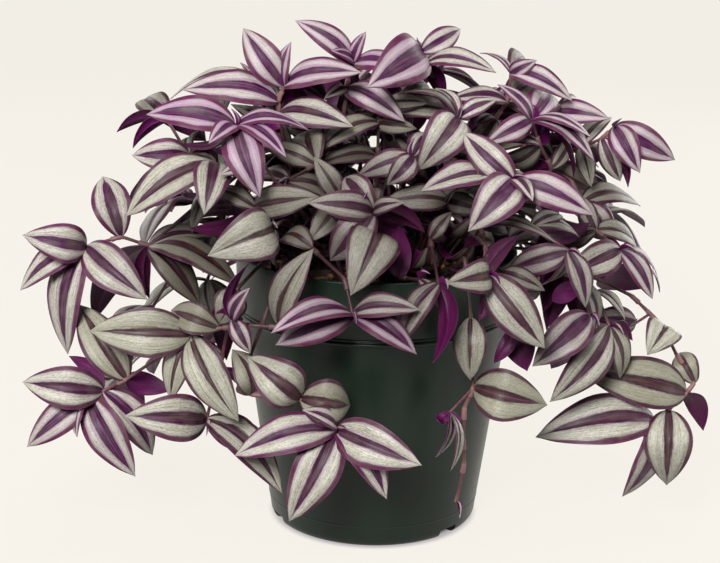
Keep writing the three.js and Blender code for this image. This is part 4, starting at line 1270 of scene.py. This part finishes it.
def pot_profile():
    """The pot's section, from the middle of its underside round the rim to its floor inside."""
    foot = pot_radius(BASE_ROUND) - BASE_ROUND
    line = FOOT_LINE_HEIGHT
    top = POT_TOP_RADIUS
    low = pot_radius(FLOOR) - WALL

    def wall(*heights):
        return [(pot_radius(z), z) for z in heights]

    return [
        (HUB_RADIUS, UNDER_HOLLOW), (foot - 6, UNDER_HOLLOW), (foot - 4, 0.4), (foot - 2.6, 0),
        *arc((foot, BASE_ROUND), BASE_ROUND, -90, 0, 6),
        *wall(line - 0.5), *bead(line, 0.7, 0.16), *wall(line + 1.2),
        *wall(*np.linspace(24, NECK - 8, 8), NECK - 1.2),
        (pot_radius(NECK) + 0.1, NECK - 0.4),
        *arc((COLLAR_FOOT_RADIUS - 0.3, NECK + 0.8), 0.8, -90, 90, 6), *wall(NECK + 1.9),
        *arc((pot_radius(NECK + 3) - 0.25, NECK + 2.9), 0.7, -80, 80, 5), *wall(NECK + 4.2),
        *wall(*np.linspace(NECK + 8, POT_HEIGHT - 4, 6)),
        *arc((top - 0.7, POT_HEIGHT - 0.7), 0.7, 0, 90, 4),
        *arc((top - WALL + 0.6, POT_HEIGHT - 0.6), 0.6, 90, 180, 3),
        (COLLAR_FOOT_RADIUS - WALL, NECK + WALL), (pot_radius(NECK) - WALL, NECK),
        (low - 1.5, FLOOR + 1.5), (low - 3, FLOOR), (HUB_RADIUS, FLOOR),
    ]


def cut_out(piece, cutter):
    """Cuts one mesh out of another for good."""
    modifier = piece.modifiers.new("cut", "BOOLEAN")
    modifier.operation = "DIFFERENCE"
    modifier.solver = "EXACT"
    modifier.object = cutter
    with bpy.context.temp_override(object=piece, active_object=piece):
        done = bpy.ops.object.modifier_apply(modifier=modifier.name)
    if "FINISHED" not in done:
        raise RuntimeError(f"{piece.name} could not be cut")
    bpy.data.objects.remove(cutter)


def notch_cutter():
    """The boxes that the drain notches are cut with."""
    bm = bmesh.new()
    size = Matrix.Diagonal((NOTCH_WIDTH, 2 * NOTCH_DEPTH, 2 * NOTCH_HEIGHT, 1))
    out = Matrix.Translation((0, -pot_radius(0), 0))
    for turn in NOTCH_TURNS:
        spin = Matrix.Rotation(math.radians(turn), 4, "Z")
        bmesh.ops.create_cube(bm, size=1, matrix=spin @ out @ size)
    bmesh.ops.scale(bm, verts=bm.verts, vec=(MM, MM, MM))
    return as_object("notches", bm)


def build_pot(settings):
    """The moulded pot, replacing its node."""
    shape = turned(pot_profile(), settings.pot_sides)
    material = pot_material(settings)
    pot = finished_piece("nursery_pot", shape, [material], "pot", POT_SHARP)
    cut_out(pot, notch_cutter())


def soil_profile():
    """The section of the mix, from the middle of its underside to the middle of its top."""
    def inner(z):
        return pot_radius(z) - WALL - CLEARANCE

    low = [
        (HUB_RADIUS, FLOOR + CLEARANCE), (inner(FLOOR) - 4, FLOOR + CLEARANCE), (inner(9), 9),
        (inner(NECK) - 0.2, NECK - 1),
        (COLLAR_FOOT_RADIUS - WALL - CLEARANCE - 0.2, NECK + WALL + 1.5),
        (inner(SOIL_LEVEL - 2) - 0.1, SOIL_LEVEL - 2),
    ]
    top = []
    for k in np.linspace(0, 1, SOIL_RINGS + 1)[:-1]:
        r = blend(inner(SOIL_LEVEL) - 1, 1.5, k)
        top.append((r, SOIL_LEVEL - 0.6 + SOIL_CROWN * min(1, 2 * k)))
    return low + top


def lumpy(place):
    """Raises and lowers the top of the mix in lumps."""
    if place[2] < SOIL_LEVEL - 1:
        return place
    rises = [height * noise.noise(Vector(place) / spacing) for spacing, height in LUMPS]
    return place + np.array([0, 0, sum(rises)])


def add_bit(gathering, draw, kind, size):
    """Adds one clod, bark chip or white grain to the top of the mix."""
    wall = pot_radius(SOIL_LEVEL) - WALL
    r = (wall - BIT_MARGIN) * math.sqrt(draw(0, 1))
    turn = draw(0, 2 * math.pi)
    height = SOIL_LEVEL + SOIL_CROWN * min(1, 2 * (1 - r / wall)) + size * draw(*BIT_LIFTS)
    place = np.array([r * math.cos(turn), r * math.sin(turn), height])
    flat = draw(*BIT_FLATNESS[kind])
    long = draw(*BIT_LENGTHS[kind])
    spin = Matrix.Rotation(draw(0, 2 * math.pi), 3, "Z")
    spin = spin @ Matrix.Rotation(draw(-BIT_TILT, BIT_TILT), 3, "X")
    shape = bmesh.new()
    bmesh.ops.create_icosphere(shape, subdivisions=2, radius=1)
    seed = Vector((draw(-50, 50), draw(-50, 50), draw(-50, 50)))
    points = []
    for vert in shape.verts:
        dent = 1 + BIT_DENTS * noise.noise(vert.co * DENT_SCALE + seed)
        x, y, z = vert.co
        local = Vector((x * long, y * BIT_NARROWNESS, z * flat)) * dent * size / 2
        points.append(place + np.array(spin @ local))
    gathering.add(shape, np.array(points), [nature_rows(len(points), kind, draw(0, 1), 0)])
    shape.free()


def build_soil(settings):
    """The potting mix with the loose bits on it, replacing its node."""
    gathering = Gathering("grain")
    shape = turned(soil_profile(), settings.pot_sides // 2, lumpy)
    points = points_of(shape) / MM
    gathering.add(shape, points, [nature_rows(len(points), CLOD, 0.5, 0)])
    shape.free()
    draw = seeded_draw(settings.seed + 7)
    for _ in range(settings.soil_bits):
        chance = draw(0, 1)
        kind = GRAIN if chance < GRAIN_SHARE else CHIP if chance < CHIP_SHARE else CLOD
        add_bit(gathering, draw, kind, draw(*BIT_SIZES[kind]))
    material = soil_material(settings)
    finished_piece("loose_mix", gathering.bm, [material], "soil", SOIL_SHARP)


def linear(code):
    """A colour from its number, as the linear red, green, blue and alpha that shaders take."""
    parts = [((code >> shift) & 255) / 255 for shift in (16, 8, 0)]
    parts = [c / 12.92 if c <= 0.04045 else ((c + 0.055) / 1.055) ** 2.4 for c in parts]
    return (*parts, 1.0)


def arithmetic(operation):
    """A sign between a value and another term, and its form with the value on the right."""
    def plain(value, other):
        return value.math(operation, value, other)

    def reflected(value, other):
        return value.math(operation, other, value)

    return plain, reflected


class Value:
    """A socket of a material; arithmetic on it adds Math nodes."""

    def __init__(self, graph, socket):
        self.graph = graph
        self.socket = socket

    __add__, __radd__ = arithmetic("ADD")
    __sub__, __rsub__ = arithmetic("SUBTRACT")
    __mul__, __rmul__ = arithmetic("MULTIPLY")
    __truediv__, __rtruediv__ = arithmetic("DIVIDE")
    __pow__, __rpow__ = arithmetic("POWER")

    def __abs__(self):
        return self.math("ABSOLUTE", self)

    def math(self, operation, *terms):
        return self.graph.node("ShaderNodeMath", {"operation": operation}, dict(enumerate(terms)))

    def most(self, other):
        return self.math("MAXIMUM", self, other)

    def sine(self):
        return self.math("SINE", self)

    def step(self, low, high):
        """Rises smoothly from 0 at low to 1 at high."""
        inputs = {"Value": self, "From Min": low, "From Max": high}
        return self.graph.node("ShaderNodeMapRange", {"interpolation_type": "SMOOTHSTEP"}, inputs)


class Graph:
    """The nodes of one material, which end in its one shader."""

    def __init__(self, name):
        self.material = bpy.data.materials.new(name)
        self.material.use_nodes = True
        self.tree = self.material.node_tree
        self.shader = next(n for n in self.tree.nodes if n.type == "BSDF_PRINCIPLED")

    def node(self, kind, settings, inputs, output=0):
        """Adds a node of a type, its settings first and then its inputs, and gives an output."""
        made = self.tree.nodes.new(kind)
        for key, value in settings.items():
            setattr(made, key, value)
        for key, value in inputs.items():
            self.feed(made.inputs[key], value)
        return Value(self, made.outputs[output])

    def feed(self, socket, value):
        if isinstance(value, Value):
            self.tree.links.new(value.socket, socket)
        else:
            socket.default_value = value

    def attribute(self, name):
        """The three numbers of a point attribute."""
        vector = self.node("ShaderNodeAttribute", {"attribute_name": name}, {}, "Vector")
        first = self.node("ShaderNodeSeparateXYZ", {}, {0: vector})
        return [Value(self, part) for part in first.socket.node.outputs]

    def place(self):
        """Where the point lies in the object's own frame, in metres."""
        return self.node("ShaderNodeTexCoord", {}, {}, "Object")

    def join(self, x, y, z):
        return self.node("ShaderNodeCombineXYZ", {}, {0: x, 1: y, 2: z})

    def stretched(self, vector, times):
        inputs = {0: vector, 1: times}
        return self.node("ShaderNodeVectorMath", {"operation": "MULTIPLY"}, inputs)

    def length(self, vector):
        settings = {"operation": "LENGTH"}
        return self.node("ShaderNodeVectorMath", settings, {0: vector}, "Value")

    def noise(self, vector, scale=1.0, detail=2.0, roughness=0.5):
        inputs = {"Vector": vector, "Scale": scale, "Detail": detail, "Roughness": roughness}
        return self.node("ShaderNodeTexNoise", {}, inputs)

    def mix(self, factor, low, high):
        """A colour between two others; each is a Value, a setting or a colour's number."""
        low, high = [linear(c) if isinstance(c, int) else c for c in (low, high)]
        return self.node("ShaderNodeMix", {"data_type": "RGBA"}, {0: factor, 6: low, 7: high}, 2)

    def layered(self, colour, *layers):
        """A colour with others laid over it one by one, each with its share before it."""
        for share, over in layers:
            colour = self.mix(share, colour, over)
        return colour

    def finish(self, colour, roughness, height=None, depth=0.0, **others):
        """Gives the shader its colour, roughness, relief to a depth in metres, and the rest."""
        self.feed(self.shader.inputs["Base Color"], colour)
        self.feed(self.shader.inputs["Roughness"], roughness)
        if height is not None:
            inputs = {"Strength": 1.0, "Distance": depth, "Height": height}
            self.feed(self.shader.inputs["Normal"], self.node("ShaderNodeBump", {}, inputs))
        for key, value in others.items():
            self.feed(self.shader.inputs[key.replace("_", " ")], value)
        return self.material


class LeafPattern:
    """Where a point lies on its leaf, the leaf's age, and the edges and noises of its pattern."""

    def __init__(self, g):
        self.s, self.t, self.face = g.attribute("spot")
        self.youth, self.chance, self.shade = g.attribute("nature")
        s, t, youth, chance = self.s, self.t, self.youth, self.chance
        reach = self.reach = abs(s)
        streak = g.noise(g.join(s * 9 + chance * 40, t * 1.2, chance * 13), 1.0, 4.0, 0.7)
        fine = g.noise(g.join(s * 24 + chance * 90, t * 2.4, chance * 7), 1.0, 3.0, 0.65)
        flecks = g.noise(g.join(s * 36 + chance * 30, t * 24, chance * 5), 1.0, 3.0, 0.7)
        self.streak, self.fine, self.flecks = streak, fine, flecks
        self.speck = g.noise(g.place(), 1300.0)
        self.blotch = g.noise(g.place(), 120.0)
        wobble = (streak - 0.5) * 0.2 + (fine - 0.5) * 0.14 + (flecks - 0.5) * 0.1
        drift = (g.noise(g.join(t * 3.2 + chance * 60, s * 1.3, chance * 9)) - 0.5) * 0.24

        toward_tip = t.step(0.75, 0.98)
        purple = youth.step(0.55, 0.98)
        old = 1 - youth.step(0.05, 0.4)
        band = 0.24 + (chance - 0.5) * 0.12 + purple * 0.07 - old * 0.08 - t * t * 0.09
        band = (band + drift * 0.6 + (1 - t) ** 6 * 0.12) * (1 - toward_tip)
        rim = 0.815 + drift + old * 0.07 - purple * 0.08 - (1 - t) ** 5 * 0.16 + toward_tip * 0.09
        self.middle = 1 - (reach + wobble * 0.6).step(band - 0.04, band + 0.05)
        self.margin = (reach + wobble * 0.5).step(rim - 0.03, rim + 0.05)
        near_middle = 1 - (reach + wobble * 1.5).step(band, band + 0.14 + purple * 0.3)
        near_margin = (reach + wobble * 1.5).step(rim - 0.14 - purple * 0.22, rim + 0.02)
        self.halo = near_middle.most(near_margin)
        seam = 1 - abs(reach + wobble * 0.6 - band + 0.02).step(0.01, 0.07)
        self.seam = seam.most(1 - abs(reach + wobble * 0.5 - rim).step(0.0, 0.05))
        self.vein = ((s * 62 + chance * 6).sine() * 0.5 + 0.5) * fine
        self.wobble, self.band, self.rim = wobble, band, rim
        self.toward_tip, self.purple, self.old = toward_tip, purple, old


def leaf_silver(g, leaf, silver_colour):
    """The silver bands: streaked, flecked and veined, duller with age and pinker in youth."""
    streak, flecks, speck = leaf.streak, leaf.flecks, leaf.speck
    return g.layered(
        SILVER_SHADED,
        (streak.step(0.3, 0.62), silver_colour),
        ((streak * 0.5 + flecks * 0.6).step(0.42, 0.66), SILVER_BRIGHT),
        (leaf.vein.step(0.3, 0.7) * 0.25, SILVER_SHADED),
        (flecks.step(0.5, 0.3) * 0.35, SILVER_SHADED),
        (speck.step(0.56, 0.7) * 0.5, SILVER_BRIGHT),
        (leaf.old * (0.1 + leaf.chance * 0.6), SILVER_OLD),
        (leaf.youth.step(0.5, 0.8) * 0.5, SILVER_WARM),
        (speck.step(0.44, 0.34) * 0.4, SILVER_SHADED),
        (leaf.purple * (streak * 3.2 - 1.1), SILVER_YOUNG),
    )


def leaf_band(g, leaf, band_colour):
    """The dark band along the middle, with a greenish centre in old leaves."""
    youth, fine = leaf.youth, leaf.fine
    centre = (1 - leaf.reach.step(0.02, 0.1)) * (1 - youth.step(0.2, 0.6))
    centre = centre * (1 - leaf.t.step(0.5, 0.8))
    return g.layered(
        BAND_OLD,
        (youth.step(0.1, 0.7), band_colour),
        ((centre * 0.75).most(leaf.old * (0.8 - leaf.chance * 0.6)), BAND_CENTRE),
        (fine.step(0.5, 0.62) * (0.25 + youth * 0.4), HALO),
        (fine.step(0.48, 0.36) * 0.7, DARK_LINE),
    )


def leaf_margin(g, leaf):
    """The dark margins, with fine darker lines."""
    lines = leaf.fine.step(0.5, 0.38) * 0.5
    return g.layered(MARGIN_OLD, (leaf.youth.step(0.1, 0.7), MARGIN_YOUNG), (lines, DARK_LINE))


def leaf_upper(g, leaf, settings):
    """The upper face: silver between the dark band and margins, with halos beside them, and painted
    shade deep in the foliage.
    """
    youth, reach, wobble = leaf.youth, leaf.reach, leaf.wobble
    lilac = g.mix(youth.step(0.1, 0.5), HALO_OLD, HALO)
    glow = 1 - abs(reach + wobble - leaf.band - 0.08).step(0.02, 0.08)
    glow = glow.most(1 - abs(reach + wobble - leaf.rim + 0.06).step(0.02, 0.07))
    return g.layered(
        leaf_silver(g, leaf, settings.silver_colour),
        (leaf.halo * (0.3 + youth * 0.4 + (leaf.fine - 0.5) * 1.4), lilac),
        (glow * youth.step(0.15, 0.6) * 0.6, GLOW),
        (leaf.middle, leaf_band(g, leaf, settings.band_colour)),
        (leaf.margin, leaf_margin(g, leaf)),
        (leaf.seam * 0.8 * (1 - leaf.toward_tip), DARK_LINE),
        (reach.step(0.93, 0.98) * 0.3, HALO),
        ((leaf.blotch - 0.42) * 0.7, SILVER_SHADED),
        # Painted shade deep in the foliage
        (leaf.shade * 0.85, PAINTED_SHADE),
    )


def leaf_under(g, leaf, underside_colour):
    """The purple underside, with fine paler lines and painted shade deep in the foliage."""
    lines = ((leaf.s * 40 + leaf.chance * 6).sine() * 0.5 + 0.5) * leaf.streak
    return g.layered(
        UNDER_OLD,
        (leaf.youth.step(0.05, 0.6).most(0.4) * (0.25 + leaf.chance * 0.75), underside_colour),
        (lines.step(0.35, 0.75) * 0.45, UNDER_LINES),
        # Painted shade deep in the foliage, in the old underside's colour
        (leaf.shade * 0.6, UNDER_OLD),
    )


def blade_material(settings):
    """A leaf: two silver bands with fine veins between a dark midrib band and dark margins."""
    g = Graph("leaf_blade")
    leaf = LeafPattern(g)
    upper = leaf_upper(g, leaf, settings)
    under = leaf_under(g, leaf, settings.underside_colour)
    colour = g.mix(leaf.face.step(-0.2, 0.2), under, upper)
    roughness = 0.34 + leaf.fine * 0.16 + leaf.margin * 0.05
    height = leaf.fine * 0.5 + leaf.streak * 0.7 + leaf.vein * 0.4 + leaf.speck * 0.15
    relief = height * settings.vein_relief
    return g.finish(colour, roughness, relief, BLADE_RELIEF, Specular_IOR_Level=0.34)


def stalk_material(settings):
    """A stem: streaked brown and pink, paler where it is swollen and under its sheaths, and
    darkened by painted shade deep in the foliage.
    """
    g = Graph("leaf_stalk")
    far, node, sheath = g.attribute("spot")
    youth, chance, shade = g.attribute("nature")
    streak = g.noise(g.stretched(g.place(), (1.0, 1.0, 0.25)), 900.0, 3.0)
    patch = g.noise(g.join(far * 1.4, chance * 50, 0.0))
    colour = g.layered(
        STALK_OLD,
        ((youth + patch * 0.8 - 0.2).step(0.1, 0.9), STALK_YOUNG),
        (streak.step(0.45, 0.7) * 0.5, UNDER_OLD),
        (node * 0.6, NODE_PALE),
        (sheath * 0.7, SHEATH_PALE),
        # Painted shade deep in the foliage
        (shade * 0.85, PAINTED_SHADE),
    )
    return g.finish(colour, 0.4 + streak * 0.2, streak * settings.vein_relief, STALK_RELIEF)


def pot_material(settings):
    """Moulded plastic: dark green with faint upright moulding ripples in its relief and roughness,
    painted reflections as lighter upright streaks, and light scuffs.
    """
    g = Graph("pot_plastic")
    place = g.place()
    flow_and_reflection = g.noise(g.stretched(place, (1.0, 1.0, 0.08)), 60.0, 3.0)
    grain = g.noise(place, 900.0, 3.0)
    scuff = g.noise(g.stretched(place, (1.0, 1.0, 3.0)), 120.0, 4.0, 0.7)
    # Painted reflections as lighter upright streaks, and real scuffs
    reflections_and_scuffs = (flow_and_reflection.step(0.4, 0.65) * 0.35, POT_SCUFF_AND_REFLECTION), (scuff.step(0.62, 0.75) * 0.3, POT_SCUFF_AND_REFLECTION)
    colour = g.layered(settings.pot_colour, *reflections_and_scuffs)
    roughness = 0.3 + flow_and_reflection * 0.12 + scuff.step(0.55, 0.75) * 0.12
    return g.finish(colour, roughness, grain * 0.4 + flow_and_reflection, POT_RELIEF, Specular_IOR_Level=0.28)


def soil_material(settings):
    """Damp mix with clods, bark chips and white grains, told apart by the grain attribute."""
    g = Graph("potting_mix")
    kind, chance, _ = g.attribute("grain")
    place = g.place()
    rough = g.noise(place, 420.0, 5.0, 0.7)
    clod = g.noise(place, 130.0, 3.0)
    brown = settings.soil_colour
    earth = (rough.step(0.35, 0.7), brown), (clod.step(0.5, 0.7) * 0.5, SOIL_DARK)
    bark = g.mix((chance + rough * 0.4).step(0.3, 1.2), brown, BARK)
    white = g.mix(rough.step(0.3, 0.6), BARK, GRAIN_WHITE)
    chips = (kind.step(0.4, 0.6), bark), (kind.step(1.4, 1.6), white)
    colour = g.layered(SOIL_DARK, *earth, *chips)
    return g.finish(colour, 0.75 + rough * 0.2, rough + clod * 0.6, SOIL_RELIEF)


def stage_material(settings):
    """The pale floor and backdrop, which also give off a little light of their own, with a painted
    shadow under and round the pot's foot.
    """
    g = Graph("stage_paper")
    paper = tuple(settings.stage_colour)
    base = tuple(c * settings.floor_shade for c in paper[:3]) + (1.0,)
    past = g.length(g.place()) / MM - POT_BASE_RADIUS
    # Painted shadow: dim round the pot's foot and dark under the pot
    glow = g.mix(past.step(*CONTACT_REACH), CONTACT_SHADE, paper)
    glow = g.mix(past.step(*UNDER_REACH), UNDER_SHADE, glow)
    light = settings.floor_glow
    return g.finish(base, 0.9, Specular_IOR_Level=0.0, Emission_Color=glow, Emission_Strength=light)


def stage_piece(name, bm, material):
    """Shows a stage mesh, which lights nothing around it."""
    piece = as_object(name, bm)
    piece.data.materials.append(material)
    piece.data.shade_smooth()
    piece.visible_diffuse = False
    return piece


def build_dome(settings, material):
    """A pale dome past the floor for views from behind, which only the camera sees."""
    bm = bmesh.new()
    bmesh.ops.create_icosphere(bm, subdivisions=4, radius=settings.dome_radius)
    dome = stage_piece("stage_dome", bm, material)
    dome.visible_glossy = False
    dome.visible_transmission = False
    dome.visible_shadow = False


def build_floor(material):
    """A floor that curves up into a backdrop behind the plant."""
    bm = bmesh.new()
    bmesh.ops.create_grid(bm, x_segments=40, y_segments=60, size=1)
    for vert in bm.verts:
        far = (vert.co.y + 1) * FLOOR_HALF_LENGTH + FLOOR_FRONT
        turn = clamp((far - CURVE_START) / CURVE_RUN, 0, 1.0) * math.pi / 2
        back = min(far, CURVE_START) + math.sin(turn) * CURVE_RADIUS
        up = (1 - math.cos(turn)) * CURVE_RADIUS + max(0, far - CURVE_START - CURVE_RUN)
        vert.co = (vert.co.x * FLOOR_HALF_WIDTH, back, up)
    stage_piece("stage_sweep", bm, material)


def build_light(name, place, size, power):
    """A soft square light that looks at the plant."""
    data = bpy.data.lights.new(name, "AREA")
    data.shape = "RECTANGLE"
    data.size, data.size_y = size
    data.energy = power
    light = bpy.data.objects.new(name, data)
    light.location = place
    way = Vector(LIGHT_TARGET) - Vector(place)
    light.rotation_euler = way.to_track_quat("-Z", "Y").to_euler()
    bpy.context.scene.collection.objects.link(light)


def build_camera():
    """The photograph's camera: where it stood, how it looked down and leaned, and its lens."""
    data = bpy.data.cameras.new("photo_camera")
    data.sensor_width = SENSOR_WIDTH
    data.lens = FOCAL_PIXELS / FRAME_WIDTH * SENSOR_WIDTH
    data.clip_start, data.clip_end = VIEW_RANGE
    data.dof.use_dof = False
    camera = bpy.data.objects.new("photo_camera", data)
    pitch = Matrix.Rotation(math.pi / 2 - CAMERA_PITCH, 4, "X")
    roll = Matrix.Rotation(CAMERA_ROLL, 4, "Z")
    camera.matrix_world = Matrix.Translation(Vector(EYE) * MM) @ pitch @ roll
    bpy.context.scene.collection.objects.link(camera)
    bpy.context.scene.camera = camera


def build_stage(settings):
    """The floor, the world's light, the lights and the camera."""
    material = stage_material(settings)
    build_floor(material)
    build_dome(settings, material)
    world = bpy.data.worlds.new("studio")
    world.use_nodes = True
    background = next(n for n in world.node_tree.nodes if n.type == "BACKGROUND")
    background.inputs["Color"].default_value = settings.stage_colour
    background.inputs["Strength"].default_value = settings.world_light
    bpy.context.scene.world = world
    bpy.context.scene.view_settings.view_transform = "Standard"
    for name, place, size, power in LIGHTS:
        build_light(name, place, size, power * settings.lamp_power)
    build_camera()


def count_setting(name, description, default, least):
    return IntProperty(name=name, description=description, default=default, min=least)


def amount_setting(name, description, default, **others):
    return FloatProperty(name=name, description=description, default=default, min=0, **others)


def colour_setting(name, description, code):
    """A colour that a user can change, with its default as one number."""
    return FloatVectorProperty(
        name=name, description=description, default=linear(code), size=4, min=0, max=1,
        subtype="COLOR",
    )


class PlantSettings(bpy.types.PropertyGroup):
    """What the plant's pieces and stage are made with."""

    seed: count_setting("Seed", "Starts the draws that vary leaves and bits", 11, 1)
    blade_columns: count_setting("Blade columns", "Faces across a leaf", 12, 4)
    blade_rows: count_setting("Blade rows", "Faces along a leaf", 22, 6)
    pot_sides: count_setting("Pot sides", "Faces round the pot", 144, 24)
    soil_bits: count_setting("Soil bits", "Chips, clods and grains on the mix", 420, 0)
    pot_colour: colour_setting("Pot", "Colour of the pot's plastic", POT_GREEN)
    soil_colour: colour_setting("Potting mix", "Colour of the clods", SOIL_BROWN)
    silver_colour: colour_setting("Silver bands", "Colour of a leaf's pale bands", SILVER)
    band_colour: colour_setting("Middle band", "Colour of a young leaf's dark band", BAND_YOUNG)
    underside_colour: colour_setting("Underside", "Colour under a young leaf", UNDER_YOUNG)
    vein_relief: amount_setting(
        "Vein relief", "How strong the relief of the veins is", 0.5, max=1, subtype="FACTOR"
    )
    stage_colour: colour_setting("Stage", "Colour of the floor and the backdrop", STAGE_CREAM)
    dome_radius: amount_setting(
        "Dome radius", "Size of the backdrop all round", 8.0, unit="LENGTH"
    )
    floor_glow: amount_setting("Floor glow", "Light that the stage gives off", 0.98)
    floor_shade: amount_setting(
        "Floor shade", "How much light the stage sends back", 0.06, max=1, subtype="FACTOR"
    )
    lamp_power: amount_setting("Lamp power", "Scales every studio light", 1.0)
    world_light: amount_setting("World light", "Strength of the even light all round", 0.02)


class PLANT_OT_add_pot(bpy.types.Operator):
    """Add the moulded nursery pot"""

    bl_idname = "plant.add_pot"
    bl_label = "Add Pot"

    def execute(self, context):
        build_pot(context.scene.plant_settings)
        return {"FINISHED"}


class PLANT_OT_add_soil(bpy.types.Operator):
    """Add the potting mix with its loose bits"""

    bl_idname = "plant.add_soil"
    bl_label = "Add Potting Mix"

    def execute(self, context):
        build_soil(context.scene.plant_settings)
        return {"FINISHED"}


class PLANT_OT_add_foliage(bpy.types.Operator):
    """Add every leafy stem"""

    bl_idname = "plant.add_foliage"
    bl_label = "Add Leafy Stems"

    def execute(self, context):
        builder = FoliageBuilder(context.scene.plant_settings)
        for stem in grow_plant():
            builder.build(stem)
        return {"FINISHED"}


class PLANT_OT_add_stage(bpy.types.Operator):
    """Add the floor, the lights and the camera"""

    bl_idname = "plant.add_stage"
    bl_label = "Add Stage"

    def execute(self, context):
        build_stage(context.scene.plant_settings)
        return {"FINISHED"}


class PLANT_PT_panel(bpy.types.Panel):
    """The plant's settings and its operators"""

    bl_idname = "PLANT_PT_panel"
    bl_label = "Potted Tradescantia"
    bl_space_type = "VIEW_3D"
    bl_region_type = "UI"
    bl_category = "Plant"

    def draw(self, context):
        settings = context.scene.plant_settings
        for name in PlantSettings.__annotations__:
            self.layout.prop(settings, name)
        for operator in OPERATORS:
            self.layout.operator(operator.bl_idname)


OPERATORS = (PLANT_OT_add_pot, PLANT_OT_add_soil, PLANT_OT_add_foliage, PLANT_OT_add_stage)
CLASSES = (PlantSettings, *OPERATORS, PLANT_PT_panel)


def register():
    for item in CLASSES:
        bpy.utils.register_class(item)
    bpy.types.Scene.plant_settings = PointerProperty(type=PlantSettings)


def unregister():
    del bpy.types.Scene.plant_settings
    for item in reversed(CLASSES):
        bpy.utils.unregister_class(item)


def main():
    register()
    bpy.ops.plant.add_pot()
    bpy.ops.plant.add_soil()
    bpy.ops.plant.add_foliage()
    bpy.ops.plant.add_stage()
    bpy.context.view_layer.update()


if __name__ == "__main__":
    main()
